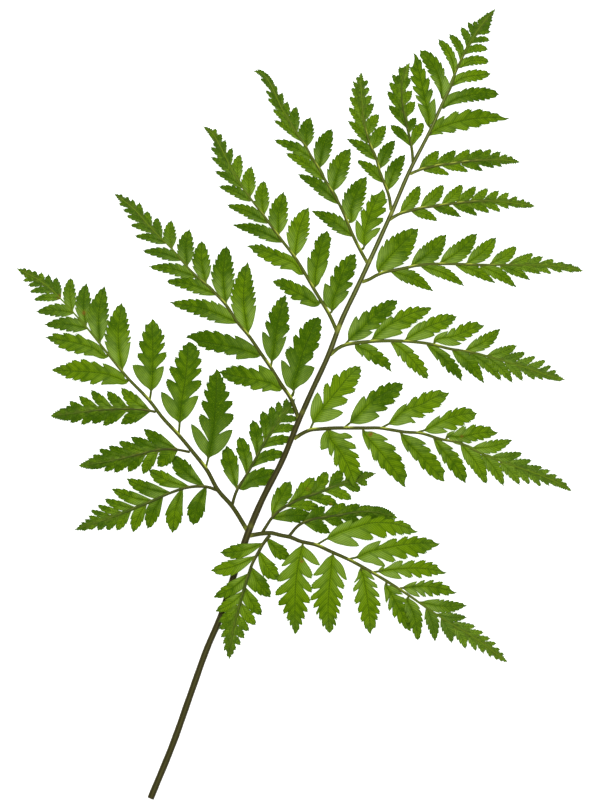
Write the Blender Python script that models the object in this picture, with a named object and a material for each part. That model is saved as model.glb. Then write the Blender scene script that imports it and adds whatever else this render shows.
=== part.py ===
"""Leatherleaf fern frond, laid flat: one grown piece from the cut stipe to the tip.

The frond is read from the picture in pixels, turned so that its length runs along +Y, and
scaled to its real length. Each pinna is a toothed plate with a raised costa. The plates
and the rachis are joined into one solid that rests on the rachis's flat underside.
"""
import math

import bmesh
import bpy
from mathutils import Vector
from mathutils.geometry import delaunay_2d_cdt

FROND_LENGTH = 0.500          # cut end of the stipe to the tip, straight
CUT_END = (150.5, 798.5)      # picture positions, pixels
FROND_TIP = (495.0, 9.0)
REST_POINT = (299.0, 420.0)   # the rachis under the frond's weight, the origin

PICTURE_LENGTH = math.dist(CUT_END, FROND_TIP)
PX = FROND_LENGTH / PICTURE_LENGTH
TURN_COS = (CUT_END[1] - FROND_TIP[1]) / PICTURE_LENGTH
TURN_SIN = (FROND_TIP[0] - CUT_END[0]) / PICTURE_LENGTH

BLADE = 0.00070               # thickness of the leaf plate
MM = 0.001
DROOP_REACH = 90.0            # pixels from the costa at which the leaflets hang lowest
LEAST_LIFT = 0.25             # share of the costa's height that a far leaflet keeps
FOOT_REACH = 1.5              # how far behind its base a leaflet's foot lies, pixels
STALK_HALF = 0.95             # half width of a leaflet's base, pixels
RIDGE = 0.45                  # half thickness of the costa, share of its width
RIDGE_REACH = 0.2             # points nearer than this to the route carry the ridge
CLEAR = 3.0                   # least distance between a bend and a leaflet, pixels
LEAFLET_BOW = 0.055           # sideways bow of a leaflet's middle, share of its length
SNAP = 0.25                   # points of one plate closer than this join, pixels
RACHIS_SIDES = 8
MERGE = 0.00001               # corners closer than this are one corner, metres

# Route of the rachis: picture x, y and the width across, pixels.
RACHIS = (
    (150.5, 798.5, 6.8), (174, 741, 6.8), (191, 693, 6.7), (208, 646, 6.5),
    (220, 618, 6.3), (248, 533, 6.4), (262, 500, 5.8), (282, 461, 5.5),
    (299, 420, 5.2), (310, 395, 4.8), (328, 356, 4.6), (343, 317, 4.5),
    (370, 260, 4.1), (391, 214, 3.8), (410, 170, 3.5), (430, 131, 3.1),
    (456, 70, 2.5), (479, 30, 2.1), (487, 20, 2.0),
)

# Each pinna: the costa's route, its width at both ends, the heights of its middle at the
# base, half way and at the tip in millimetres, the roll (rise a unit to the left of the
# way out), and the leaflets as base x, y, tip x, y and width, pixels.
PINNAE = {
    "left_1": {
        "costa": ((247, 530), (232, 506), (207, 470), (178, 434), (150, 401), (105, 350),
                  (72, 311), (45, 284), (16, 268)),
        "width": (3.4, 1.4), "heights": (1.8, 5.0, 0.35), "roll": 0.0,
        "leaflets": (
            (206, 468, 216, 369, 34), (179, 434, 188, 342, 40), (150, 400, 153, 320, 32),
            (124, 370, 122, 301, 24), (102, 342, 104, 286, 20), (86, 326, 86, 283, 16),
            (74, 310, 71, 277, 13), (60, 296, 56, 277, 10), (51, 290, 48, 274, 8),
            (43, 284, 41, 272, 7), (36, 280, 34, 270, 6),
            (187, 450, 78, 466, 30), (156, 412, 50, 416, 30), (128, 380, 52, 370, 24),
            (107, 356, 45, 338, 18), (84, 331, 44, 325, 14), (72, 314, 36, 312, 13),
            (58, 300, 33, 300, 8), (50, 293, 29, 292, 7), (42, 287, 27, 286, 6),
            (36, 282, 22, 281, 5),
        ),
    },
    "left_1_inner": {
        "costa": ((232, 506), (236, 492), (252, 463), (270, 430), (298, 397)),
        "width": (2.4, 1.4), "heights": (2.4, 1.2, 0.45), "roll": 0.0,
        "leaflets": (
            (236, 492, 226, 447, 17), (245, 478, 240, 437, 14), (256, 452, 252, 421, 13),
            (264, 437, 262, 412, 11), (271, 428, 271, 407, 9), (278, 420, 284, 399, 8),
            (240, 489, 275, 469, 17), (252, 466, 283, 453, 13), (261, 449, 292, 439, 11),
            (272, 432, 296, 428, 8), (280, 423, 296, 418, 7),
        ),
    },
    "left_1_outer": {
        "costa": ((219, 491), (208, 487), (190, 487), (152, 501), (110, 518), (74, 530)),
        "width": (2.4, 1.4), "heights": (3.3, 3.0, 0.35), "roll": 0.0,
        "leaflets": (
            (205, 484, 172, 455, 18), (190, 487, 148, 470, 15), (170, 493, 126, 479, 13),
            (152, 501, 112, 489, 12), (135, 508, 104, 499, 9), (118, 514, 90, 507, 8),
            (206, 488, 193, 526, 19), (183, 491, 173, 533, 18), (163, 498, 148, 529, 14),
            (146, 504, 133, 532, 13), (131, 511, 117, 531, 11), (118, 515, 107, 531, 9),
            (107, 519, 98, 531, 8),
        ),
    },
    "left_2": {
        "costa": ((299, 420), (291, 399), (271, 368), (249, 336), (226, 305), (211, 289),
                  (172, 249), (135, 210), (114, 193)),
        "width": (3.0, 1.3), "heights": (1.5, 4.6, 0.35), "roll": 0.0,
        "leaflets": (
            (291, 397, 318, 316, 32), (271, 366, 284, 295, 27), (249, 334, 247, 262, 24),
            (226, 304, 227, 245, 22), (206, 283, 202, 240, 18), (188, 266, 189, 229, 17),
            (172, 249, 171, 220, 13), (160, 238, 157, 217, 10), (150, 227, 147, 210, 9),
            (142, 217, 139, 202, 7), (135, 209, 132, 199, 6),
            (284, 388, 219, 374, 24), (260, 355, 184, 339, 22), (236, 324, 169, 303, 18),
            (213, 298, 165, 281, 14), (197, 277, 148, 267, 12), (180, 261, 142, 251, 11),
            (163, 246, 134, 236, 9), (152, 233, 130, 225, 8), (143, 225, 126, 216, 7),
            (135, 218, 122, 210, 6),
        ),
    },
    "left_3": {
        "costa": ((338, 336), (330, 316), (296, 259), (264, 216), (245, 191), (231, 168),
                  (213, 134), (203, 126)),
        "width": (2.8, 1.3), "heights": (1.3, 4.2, 0.35), "roll": 0.0,
        "leaflets": (
            (331, 314, 354, 253, 28), (315, 288, 327, 230, 24), (298, 255, 308, 207, 21),
            (281, 234, 284, 192, 19), (265, 215, 264, 180, 15), (251, 197, 251, 166, 14),
            (239, 179, 240, 154, 11), (231, 164, 232, 147, 7), (226, 153, 225, 139, 6),
            (321, 304, 273, 281, 17), (303, 273, 247, 247, 17), (282, 242, 233, 225, 13),
            (268, 223, 226, 205, 12), (251, 201, 218, 186, 10), (241, 189, 214, 171, 9),
            (234, 175, 211, 157, 9), (227, 164, 210, 147, 8), (221, 151, 212, 143, 5),
        ),
    },
    "left_4": {
        "costa": ((368, 266), (357, 244), (344, 214), (325, 180), (306, 147), (289, 120),
                  (276, 96), (265, 76), (253, 71)),
        "width": (2.6, 1.3), "heights": (1.2, 3.8, 0.35), "roll": 0.0,
        "leaflets": (
            (363, 249, 382, 189, 26), (350, 222, 366, 176, 21), (335, 191, 350, 148, 20),
            (321, 168, 332, 128, 17), (308, 147, 310, 117, 16), (298, 130, 296, 106, 11),
            (289, 116, 287, 101, 8), (283, 106, 282, 92, 7), (277, 95, 276, 85, 5),
            (352, 236, 312, 211, 15), (337, 205, 297, 174, 13), (325, 180, 285, 153, 12),
            (312, 160, 273, 140, 11), (299, 143, 273, 120, 8), (292, 127, 272, 109, 8),
            (285, 116, 267, 98, 7), (280, 106, 265, 90, 6), (272, 92, 260, 78, 5),
        ),
    },
    "left_5": {
        "costa": ((391, 213), (385, 185), (376, 158), (364, 122), (361, 85), (361, 71)),
        "width": (2.4, 1.3), "heights": (1.1, 3.2, 0.35), "roll": 0.0,
        "leaflets": (
            (388, 191, 405, 154, 15), (380, 170, 395, 140, 13), (374, 151, 386, 125, 13),
            (367, 134, 379, 114, 12), (363, 120, 374, 103, 9), (363, 108, 372, 95, 8),
            (362, 97, 370, 87, 6), (361, 88, 369, 81, 5),
            (383, 182, 356, 160, 11), (375, 160, 347, 139, 11), (370, 143, 348, 121, 11),
            (364, 130, 348, 107, 10), (362, 117, 349, 96, 9), (361, 106, 351, 87, 8),
            (361, 96, 353, 81, 6),
        ),
    },
    "left_6": {
        "costa": ((412, 167), (409, 135), (402, 100), (402, 85), (410, 62)),
        "width": (2.2, 1.3), "heights": (1.0, 1.9, 0.35), "roll": 0.0,
        "leaflets": (
            (410, 146, 390, 125, 10), (406, 128, 388, 105, 9), (403, 113, 387, 91, 9),
            (402, 101, 389, 82, 8), (402, 92, 392, 74, 7), (403, 84, 396, 70, 5),
            (411, 147, 424, 122, 11), (408, 132, 416, 117, 8), (405, 117, 415, 101, 10),
            (403, 105, 412, 90, 9), (403, 92, 410, 77, 6),
        ),
    },
    "right_1": {
        "costa": ((247, 537), (262, 534), (276, 534), (304, 542), (348, 559), (391, 584),
                  (432, 612), (467, 633), (508, 663)),
        "width": (3.2, 1.3), "heights": (1.8, 5.0, 0.35), "roll": 0.0,
        "leaflets": (
            (318, 545, 418, 531, 22), (349, 559, 440, 543, 22), (374, 573, 447, 572, 18),
            (399, 588, 457, 592, 14), (420, 602, 467, 605, 12), (437, 613, 467, 616, 9),
            (453, 623, 476, 626, 7), (465, 631, 484, 632, 6), (476, 639, 492, 638, 5),
            (303, 543, 295, 634, 36), (333, 555, 329, 632, 32), (361, 569, 371, 634, 26),
            (387, 584, 411, 631, 21), (407, 598, 418, 642, 14), (427, 610, 435, 641, 13),
            (442, 619, 452, 643, 12), (455, 627, 466, 649, 10), (467, 636, 476, 651, 7),
            (477, 642, 484, 654, 6), (485, 648, 491, 658, 5),
        ),
    },
    "right_1_inner": {
        "costa": ((262, 534), (272, 518), (292, 503), (330, 488), (377, 473)),
        "width": (2.4, 1.4), "heights": (2.2, 1.1, 0.35), "roll": 0.0,
        "leaflets": (
            (272, 516, 290, 481, 17), (289, 505, 314, 477, 15), (311, 495, 327, 471, 12),
            (329, 488, 341, 469, 11), (345, 483, 358, 470, 9),
            (273, 519, 312, 518, 13), (287, 507, 321, 508, 9), (305, 498, 338, 504, 9),
            (325, 492, 353, 499, 9), (343, 485, 361, 491, 9), (355, 480, 370, 484, 7),
        ),
    },
    "right_1_second": {
        "costa": ((289, 537), (299, 525), (310, 520), (340, 515), (375, 512), (398, 518)),
        "width": (2.4, 1.4), "heights": (3.4, 2.5, 1.0), "roll": 0.0,
        "leaflets": (
            (304, 522, 325, 507, 11), (323, 517, 346, 504, 11), (338, 515, 360, 505, 10),
            (352, 513, 372, 507, 10), (366, 512, 383, 509, 10),
            (304, 522, 330, 533, 11), (323, 518, 343, 525, 9), (338, 516, 360, 522, 9),
            (356, 513, 382, 519, 9),
        ),
    },
    "right_1_outer": {
        "costa": ((270, 534), (258, 553), (249, 573), (241, 600), (233, 632), (229, 660)),
        "width": (2.6, 1.4), "heights": (2.6, 5.3, 3.0), "roll": -0.09,
        "leaflets": (
            (262, 543, 220, 553, 15), (256, 556, 211, 571, 15), (249, 574, 214, 597, 13),
            (244, 592, 216, 611, 11), (240, 605, 219, 622, 10), (237, 614, 219, 629, 8),
            (235, 624, 221, 637, 7), (232, 636, 224, 645, 6),
            (269, 541, 291, 559, 15), (260, 552, 280, 580, 16), (252, 568, 271, 597, 15),
            (246, 588, 262, 615, 12), (241, 603, 256, 625, 11), (239, 615, 249, 631, 8),
            (235, 624, 244, 637, 7), (232, 636, 240, 646, 6),
        ),
    },
    "right_2": {
        "costa": ((292, 438), (303, 433), (313, 430), (380, 428), (419, 433), (460, 443),
                  (510, 464), (544, 477), (572, 491)),
        "width": (2.9, 1.3), "heights": (1.5, 4.6, 0.35), "roll": 0.0,
        "leaflets": (
            (310, 430, 361, 367, 33), (345, 427, 404, 383, 27), (382, 427, 449, 392, 22),
            (419, 432, 478, 413, 18), (447, 439, 498, 432, 14), (472, 447, 512, 440, 13),
            (493, 455, 523, 453, 10), (510, 463, 532, 459, 8), (520, 468, 543, 467, 7),
            (532, 471, 551, 469, 6), (543, 475, 557, 474, 5),
            (329, 429, 356, 487, 29), (364, 429, 406, 487, 22), (401, 432, 445, 481, 19),
            (434, 438, 466, 483, 16), (461, 444, 487, 485, 15), (482, 454, 504, 486, 12),
            (500, 461, 520, 485, 11), (513, 467, 530, 486, 9), (525, 471, 541, 487, 8),
            (536, 476, 550, 486, 6), (546, 479, 557, 487, 5),
        ),
    },
    "right_3": {
        "costa": ((328, 357), (340, 347), (355, 343), (400, 341), (440, 346), (480, 355),
                  (536, 371), (566, 380)),
        "width": (2.8, 1.3), "heights": (1.4, 4.4, 0.35), "roll": 0.0,
        "leaflets": (
            (346, 343, 397, 301, 27), (372, 340, 431, 308, 21), (405, 341, 457, 316, 17),
            (437, 345, 484, 325, 16), (466, 351, 500, 329, 14), (487, 356, 517, 345, 11),
            (502, 360, 526, 352, 9), (516, 363, 536, 356, 7), (528, 367, 546, 360, 6),
            (540, 372, 556, 368, 5),
            (357, 343, 391, 371, 14), (392, 341, 427, 379, 15), (428, 344, 462, 380, 15),
            (453, 349, 484, 383, 13), (472, 353, 502, 381, 11), (489, 357, 513, 383, 11),
            (505, 361, 523, 381, 10), (520, 365, 535, 380, 8), (532, 370, 543, 380, 6),
            (541, 373, 551, 380, 5),
        ),
    },
    "right_4": {
        "costa": ((360, 284), (370, 278), (382, 273), (401, 269), (440, 265), (520, 265),
                  (557, 266), (584, 271)),
        "width": (2.6, 1.3), "heights": (1.2, 4.0, 0.35), "roll": 0.0,
        "leaflets": (
            (379, 272, 418, 228, 27), (410, 267, 446, 234, 20), (439, 264, 477, 233, 18),
            (466, 264, 496, 237, 16), (490, 264, 517, 246, 13), (509, 264, 534, 253, 9),
            (526, 264, 543, 256, 7), (540, 264, 555, 259, 5),
            (391, 271, 433, 291, 14), (421, 266, 465, 286, 12), (456, 265, 495, 283, 11),
            (480, 266, 516, 287, 12), (500, 266, 530, 280, 10), (515, 266, 541, 274, 8),
            (532, 266, 552, 274, 7), (548, 267, 562, 272, 5),
        ),
    },
    "right_5": {
        "costa": ((387, 223), (399, 214), (421, 208), (467, 202), (505, 202), (536, 206)),
        "width": (2.4, 1.3), "heights": (1.1, 3.2, 0.35), "roll": 0.0,
        "leaflets": (
            (400, 213, 420, 185, 13), (420, 208, 444, 184, 13), (441, 204, 463, 184, 12),
            (458, 202, 476, 186, 10), (472, 201, 488, 188, 9), (485, 201, 499, 190, 8),
            (497, 201, 509, 193, 6),
            (412, 211, 438, 221, 10), (433, 208, 461, 217, 10), (453, 205, 478, 216, 9),
            (468, 203, 490, 213, 9), (482, 202, 501, 212, 8), (495, 203, 510, 209, 6),
        ),
    },
    "right_6": {
        "costa": ((408, 176), (419, 170), (440, 165), (470, 161), (490, 160), (521, 162)),
        "width": (2.2, 1.3), "heights": (1.0, 2.4, 0.35), "roll": 0.0,
        "leaflets": (
            (419, 169, 439, 150, 12), (436, 165, 456, 150, 11), (452, 162, 470, 149, 10),
            (464, 161, 483, 149, 9), (475, 160, 492, 149, 8), (487, 160, 501, 151, 7),
            (425, 169, 450, 175, 8), (442, 166, 469, 172, 9), (463, 163, 483, 171, 8),
            (475, 162, 495, 168, 7), (487, 162, 503, 167, 6),
        ),
    },
    "apex": {
        "costa": ((424, 143), (444, 100), (456, 70), (472, 38), (479, 30), (495, 9)),
        "width": (2.4, 1.3), "heights": (0.9, 0.8, 0.35), "roll": 0.0,
        "leaflets": (
            (430, 127, 413, 53, 22), (443, 99, 419, 49, 14), (453, 78, 438, 40, 10),
            (460, 62, 449, 34, 8), (467, 48, 461, 28, 7), (472, 38, 468, 23, 5),
            (428, 136, 510, 117, 20), (441, 108, 500, 94, 14), (452, 84, 491, 74, 11),
            (459, 67, 490, 62, 9), (466, 54, 488, 49, 8), (469, 45, 489, 40, 6),
            (474, 37, 491, 32, 5), (483, 25, 488, 11, 6), (483, 25, 493, 17, 6),
        ),
    },
}

LEAF_GREEN = (0.060, 0.165, 0.008, 1.0)
LEAF_ROUGHNESS = 0.42


def to_frond(x, y, z=0.0):
    """Turn a picture position into metres in the frond's frame."""
    across = (x - REST_POINT[0]) * PX
    up = (REST_POINT[1] - y) * PX
    return Vector((TURN_COS * across - TURN_SIN * up, TURN_SIN * across + TURN_COS * up, z))


def three_point(heights, share):
    """Read a smooth height between a start, a middle and an end height."""
    start, middle, end = heights
    return (start * (1 - share) * (1 - 2 * share) + middle * 4 * share * (1 - share)
            + end * share * (2 * share - 1))


class Costa:
    """The costa of one pinna, and the height of the leaf plate round it."""

    def __init__(self, spec):
        self.points = [Vector(p) for p in spec["costa"]]
        self.widths = spec["width"]
        self.heights = [h * MM for h in spec["heights"]]
        self.roll = spec["roll"]
        self.steps = [0.0]
        for a, b in zip(self.points, self.points[1:]):
            self.steps.append(self.steps[-1] + (b - a).length)

    def at(self, along):
        """Return the point of the route a distance along it, and the unit way out."""
        along = min(max(along, 0.0), self.steps[-1])
        index = 0
        while index < len(self.steps) - 2 and along > self.steps[index + 1]:
            index += 1
        way = (self.points[index + 1] - self.points[index]).normalized()
        return self.points[index] + way * (along - self.steps[index]), way

    def width(self, share):
        """Return the costa's width at a share of the way out."""
        return self.widths[0] + (self.widths[1] - self.widths[0]) * share

    def edge(self, along, hand):
        """Return the point on the costa's left (1) or right (-1) edge."""
        point, way = self.at(along)
        half = self.width(along / self.steps[-1]) / 2
        return point + Vector((way.y, -way.x)) * hand * half

    def nearest(self, place):
        """Return the share of the way out and the distance to the left of the route."""
        best = None
        for i, (a, b) in enumerate(zip(self.points, self.points[1:])):
            way = b - a
            part = min(1.0, max(0.0, (place - a).dot(way) / way.length_squared))
            offset = place - (a + way * part)
            if best is None or offset.length < abs(best[1]):
                hand = 1.0 if offset.dot(Vector((way.y, -way.x))) > 0 else -1.0
                along = self.steps[i] + part * way.length
                best = (along / self.steps[-1], offset.length * hand)
        return best

    def height(self, place):
        """Return the height of the plate's middle at a place."""
        share, off = self.nearest(place)
        centre = three_point(self.heights, share) + self.roll * off * PX
        lift = max(LEAST_LIFT, 1.0 - (off / DROOP_REACH) ** 2)
        return max(BLADE / 2, BLADE / 2 + (centre - BLADE / 2) * lift)


def leaflet_teeth(length):
    """Return a leaflet's edge as shares of its length and of its half width."""
    if length < 16:
        return ()
    if length < 30:
        return ((0.36, 1.0),)
    if length < 45:
        return ((0.30, 0.95), (0.62, 0.85))
    if length < 66:
        return ((0.34, 1.0), (0.40, 0.62), (0.66, 0.84), (0.72, 0.48))
    return ((0.30, 1.0), (0.33, 0.50), (0.52, 0.90), (0.55, 0.46), (0.74, 0.64),
            (0.78, 0.38))


def leaflet_outline(costa, hand, base_x, base_y, tip_x, tip_y, width):
    """Return where a leaflet leaves the costa, and its outline from edge to edge."""
    base = Vector((base_x, base_y))
    way = Vector((tip_x, tip_y)) - base
    length = way.length
    way.normalize()
    along = costa.nearest(base - way * FOOT_REACH)[0] * costa.steps[-1]
    out = costa.at(along)[1]
    ahead = Vector((-way.y, way.x))
    if ahead.dot(out) < 0:
        ahead.negate()
    teeth = leaflet_teeth(length)
    root = STALK_HALF if teeth else 0.42 * width
    near = [costa.edge(along - root, hand)]
    far = [costa.edge(along + root, hand)]
    for share, across in teeth:
        bow = LEAFLET_BOW * length * 4 * share * (1 - share)
        middle = base + way * length * share + ahead * bow
        near.append(middle - ahead * across * width / 2)
        far.append(middle + ahead * across * width / 2)
    return along, root, near + [base + way * length] + far[::-1]


def side_outline(costa, leaflets, hand):
    """Return the outline of one side of a pinna, from its base to its tip."""
    own = []
    for leaflet in leaflets:
        if costa.nearest(Vector(leaflet[2:4]))[1] * hand > 0:
            own.append(leaflet_outline(costa, hand, *leaflet))
    own.sort(key=lambda item: item[0])
    outline = [costa.edge(0.0, hand)]
    reached = 0.0
    for along, root, points in [*own, (costa.steps[-1], 0.0, [])]:
        for step in costa.steps:
            if reached + CLEAR < step < along - root - CLEAR:
                outline.append(costa.edge(step, hand))
        outline.extend(points)
        reached = along + root
    return outline


def is_inside(place, outline):
    """Tell whether an outline winds round a place in its own direction."""
    winding = 0
    area = 0.0
    for a, b in zip(outline, outline[1:] + outline[:1]):
        area += a.cross(b)
        turn = (b - a).cross(place - a)
        if a.y <= place.y < b.y and turn > 0:
            winding += 1
        elif b.y <= place.y < a.y and turn < 0:
            winding -= 1
    return winding * area > 0


def find_pinch(triangles):
    """Return a point where two parts of a plate meet at that point alone."""
    edges = set()
    for tri in triangles:
        edges.update(zip(tri, tri[1:] + tri[:1]))
    starts = set()
    for a, b in sorted(edges):
        if (b, a) not in edges:
            if a in starts:
                return a
            starts.add(a)
    return None


def fill_pinches(triangles, kept, sizes):
    """Add the smallest gap beside each pinched point, so that its parts share an edge."""
    kept = set(kept)
    corner = find_pinch(kept)
    while corner is not None:
        left = [tri for tri in triangles if corner in tri and tri not in kept]
        gaps = []
        while left:
            gap = [left.pop()]
            for tri in gap:
                for other in list(left):
                    if len(set(tri) & set(other)) == 2:
                        left.remove(other)
                        gap.append(other)
            gaps.append(gap)
        kept.update(min(gaps, key=lambda gap: sum(sizes[tri] for tri in gap)))
        corner = find_pinch(kept)
    return sorted(kept)


def plate_triangles(costa, leaflets):
    """Return the points and triangles of one pinna, flat in the picture."""
    left = side_outline(costa, leaflets, 1)
    right = side_outline(costa, leaflets, -1)
    outline = left + [costa.points[-1]] + right[::-1]
    count = len(outline)
    middle = costa.points[:-1]
    edges = [(i, (i + 1) % count) for i in range(count)]
    edges += [(count + i, count + i + 1) for i in range(len(middle) - 1)]
    flat, _, tris, *_ = delaunay_2d_cdt([*outline, *middle], edges, [], 0, SNAP)
    sizes = {}
    kept = []
    for tri in tris:
        a, b, c = (flat[i] for i in tri)
        turn = (b - a).cross(c - a)
        ordered = tuple(tri) if turn < 0 else tuple(reversed(tri))
        sizes[ordered] = abs(turn) / 2
        if is_inside((a + b + c) / 3, outline):
            kept.append(ordered)
    return flat, fill_pinches(list(sizes), kept, sizes)


def leaf_plate(name, spec):
    """Build one pinna as a closed plate whose two faces are triangulated alike."""
    costa = Costa(spec)
    flat, triangles = plate_triangles(costa, spec["leaflets"])
    bm = bmesh.new()
    upper = {}
    lower = {}
    for i in sorted({i for tri in triangles for i in tri}):
        height = costa.height(flat[i])
        share, off = costa.nearest(flat[i])
        half = BLADE / 2
        if abs(off) < RIDGE_REACH:
            half = max(half, RIDGE * costa.width(share) * PX)
        upper[i] = bm.verts.new(to_frond(*flat[i], height + half))
        lower[i] = bm.verts.new(to_frond(*flat[i], max(0.0, height - half)))
    edges = set()
    for tri in triangles:
        bm.faces.new([upper[i] for i in tri])
        bm.faces.new([lower[i] for i in reversed(tri)])
        edges.update(zip(tri, tri[1:] + tri[:1]))
    for a, b in sorted(edges):
        if (b, a) not in edges:
            bm.faces.new((lower[a], lower[b], upper[b]))
            bm.faces.new((lower[a], upper[b], upper[a]))
    return solid_object(name, bm)


def rachis_tube(name):
    """Build the rachis and stipe as a tube that lies on a flat underside."""
    bm = bmesh.new()
    points = [Vector(p[:2]) for p in RACHIS]
    rings = []
    for i, (x, y, width) in enumerate(RACHIS):
        way = (points[min(i + 1, len(points) - 1)] - points[max(i - 1, 0)]).normalized()
        side = Vector((-way.y, way.x))
        half = width / 2
        ring = []
        for k in range(RACHIS_SIDES):
            angle = 2 * math.pi * (k + 0.5) / RACHIS_SIDES
            place = Vector((x, y)) + side * half * math.sin(angle)
            lowest = half * math.cos(math.pi / RACHIS_SIDES)
            ring.append(bm.verts.new(to_frond(*place, (lowest - half * math.cos(angle)) * PX)))
        rings.append(ring)
    for one, two in zip(rings, rings[1:]):
        for k in range(RACHIS_SIDES):
            n = (k + 1) % RACHIS_SIDES
            bm.faces.new((one[k], one[n], two[n], two[k]))
    bm.faces.new(rings[0][::-1])
    bm.faces.new(rings[-1])
    return solid_object(name, bm)


def solid_object(name, bm):
    """Make an object of a closed mesh with its faces turned outward."""
    bmesh.ops.recalc_face_normals(bm, faces=bm.faces)
    mesh = bpy.data.meshes.new(name)
    bm.to_mesh(mesh)
    bm.free()
    obj = bpy.data.objects.new(name, mesh)
    bpy.context.scene.collection.objects.link(obj)
    return obj


def leaf_material():
    """Return the frond's plain green."""
    material = bpy.data.materials.new("leaf_green")
    material.use_nodes = True
    shader = material.node_tree.nodes["Principled BSDF"]
    shader.inputs["Base Color"].default_value = LEAF_GREEN
    shader.inputs["Roughness"].default_value = LEAF_ROUGHNESS
    shader.inputs["Metallic"].default_value = 0.0
    return material


def join_plates(frond, plates):
    """Join the plates to the rachis in one union and remove them."""
    group = bpy.data.collections.new("plates")
    bpy.context.scene.collection.children.link(group)
    for plate in plates:
        bpy.context.scene.collection.objects.unlink(plate)
        group.objects.link(plate)
    union = frond.modifiers.new("join", "BOOLEAN")
    union.operation = "UNION"
    union.operand_type = "COLLECTION"
    union.collection = group
    union.solver = "EXACT"
    bpy.context.view_layer.objects.active = frond
    bpy.ops.object.modifier_apply(modifier=union.name)
    for plate in plates:
        bpy.data.objects.remove(plate, do_unlink=True)
    bpy.data.collections.remove(group)


def clean(frond):
    """Merge the corners that the union left almost on one spot."""
    bm = bmesh.new()
    bm.from_mesh(frond.data)
    bmesh.ops.remove_doubles(bm, verts=bm.verts, dist=MERGE)
    bmesh.ops.dissolve_degenerate(bm, edges=bm.edges, dist=MERGE)
    bmesh.ops.triangulate(bm, faces=bm.faces)
    bm.to_mesh(frond.data)
    bm.free()


def main():
    """Model the frond as one object."""
    for obj in list(bpy.data.objects):
        bpy.data.objects.remove(obj, do_unlink=True)
    frond = rachis_tube("frond")
    plates = [leaf_plate(name, spec) for name, spec in PINNAE.items()]
    join_plates(frond, plates)
    clean(frond)
    frond.data.materials.clear()
    frond.data.materials.append(leaf_material())


main()
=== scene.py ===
"""Leatherleaf fern frond, lying on a pale floor under soft light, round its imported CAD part.

Every leaflet is a toothed and lobed blade with a pressed-in midrib and side veins. The
frond is laid out in picture pixels and turned into metres as the part's source does.
"""
import math
import random

import bpy
import numpy as np
from bpy.props import FloatProperty, FloatVectorProperty, IntProperty, PointerProperty
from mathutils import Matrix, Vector
from mathutils.geometry import delaunay_2d_cdt


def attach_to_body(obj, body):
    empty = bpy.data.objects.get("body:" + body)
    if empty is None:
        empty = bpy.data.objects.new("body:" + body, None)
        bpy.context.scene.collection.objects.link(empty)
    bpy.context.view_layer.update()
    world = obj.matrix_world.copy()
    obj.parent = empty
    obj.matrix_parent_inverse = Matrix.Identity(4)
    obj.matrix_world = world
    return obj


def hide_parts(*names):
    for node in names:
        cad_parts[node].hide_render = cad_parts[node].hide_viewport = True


bl_info = {
    "name": "Leatherleaf Fern Frond",
    "version": (1, 0, 0),
    "blender": (4, 5, 0),
    "location": "3D View > Sidebar > Fern Frond",
    "description": "Builds the detailed leaf blades, stalks and studio of a fern frond",
    "category": "Add Mesh",
}

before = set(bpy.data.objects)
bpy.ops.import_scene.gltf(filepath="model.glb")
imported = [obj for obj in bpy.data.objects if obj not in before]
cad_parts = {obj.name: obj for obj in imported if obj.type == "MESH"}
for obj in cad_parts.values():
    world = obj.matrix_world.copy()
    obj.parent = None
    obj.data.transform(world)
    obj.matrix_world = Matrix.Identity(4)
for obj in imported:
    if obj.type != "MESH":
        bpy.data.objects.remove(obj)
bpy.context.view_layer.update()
NODE = "frond"

FROND_LENGTH = 0.500          # cut end of the stipe to the tip, straight
CUT_END = (150.5, 798.5)      # picture positions, pixels
FROND_TIP = (495.0, 9.0)
REST_POINT = (299.0, 420.0)
PICTURE_MIDDLE = (299.5, 400.0)
PICTURE_HEIGHT = 800
PICTURE_LENGTH = math.dist(CUT_END, FROND_TIP)
PX = FROND_LENGTH / PICTURE_LENGTH
TURN_COS = (CUT_END[1] - FROND_TIP[1]) / PICTURE_LENGTH
TURN_SIN = (FROND_TIP[0] - CUT_END[0]) / PICTURE_LENGTH

MM = 0.001
PLATE = 0.7 * MM              # thickness of the part's own leaf plate
DROOP_REACH = 90.0            # pixels from the costa at which the leaflets hang lowest
LEAST_LIFT = 0.25             # share of the costa's height that a far leaflet keeps
LEAFLET_BOW = 0.055           # sideways bow of a plain leaflet, share of its length
FORWARD = 1.15                # run of a side vein along the midrib for each pixel across
STALK_HALF = 0.85             # half width of a leaflet's own stalk, pixels
BROAD_BELOW = 27.0            # shorter leaflets run together at the pinna's tip, pixels
TIP_BLADE = 22.0              # length of a pinna's end leaflet, pixels
VEIN_REACH = 3.0              # distances from a vein are kept up to this, pixels
COSTA_SWELL = 1.45            # width of a costa's lower half, share of the width read
COSTA_THINNING = 0.55         # what goes off that share toward the tip
EDGE_STEP = 2.3               # gap between the points of a leaflet's first edge, pixels
JOIN_CLEAR = 5.0              # gap left between leaflets that run down a costa, pixels
JOIN_BACK = -1.5              # start of such a leaflet's other edge, below its foot, pixels
TIP_SHRINK = 0.86             # width and gap of each further tip leaflet, share of the last
TIP_SHORTEN = 0.76            # its length, share of the last
TIP_CLEAR = 5.0               # bare end of the costa past the last tip leaflet, pixels
LEAST_TIP_LEAFLET = 4.5       # shortest tip leaflet, pixels
LEAST_POINT_GAP = 0.12        # points of an outline that are closer are dropped, pixels
MERGE_GAP = 0.02              # points of a sheet that are closer become one, pixels
PLACES_AT_ONCE = 400          # places measured together, to save memory
LEAF_SMOOTH_ANGLE = math.radians(52)
STALK_SMOOTH_ANGLE = math.radians(60)

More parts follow.
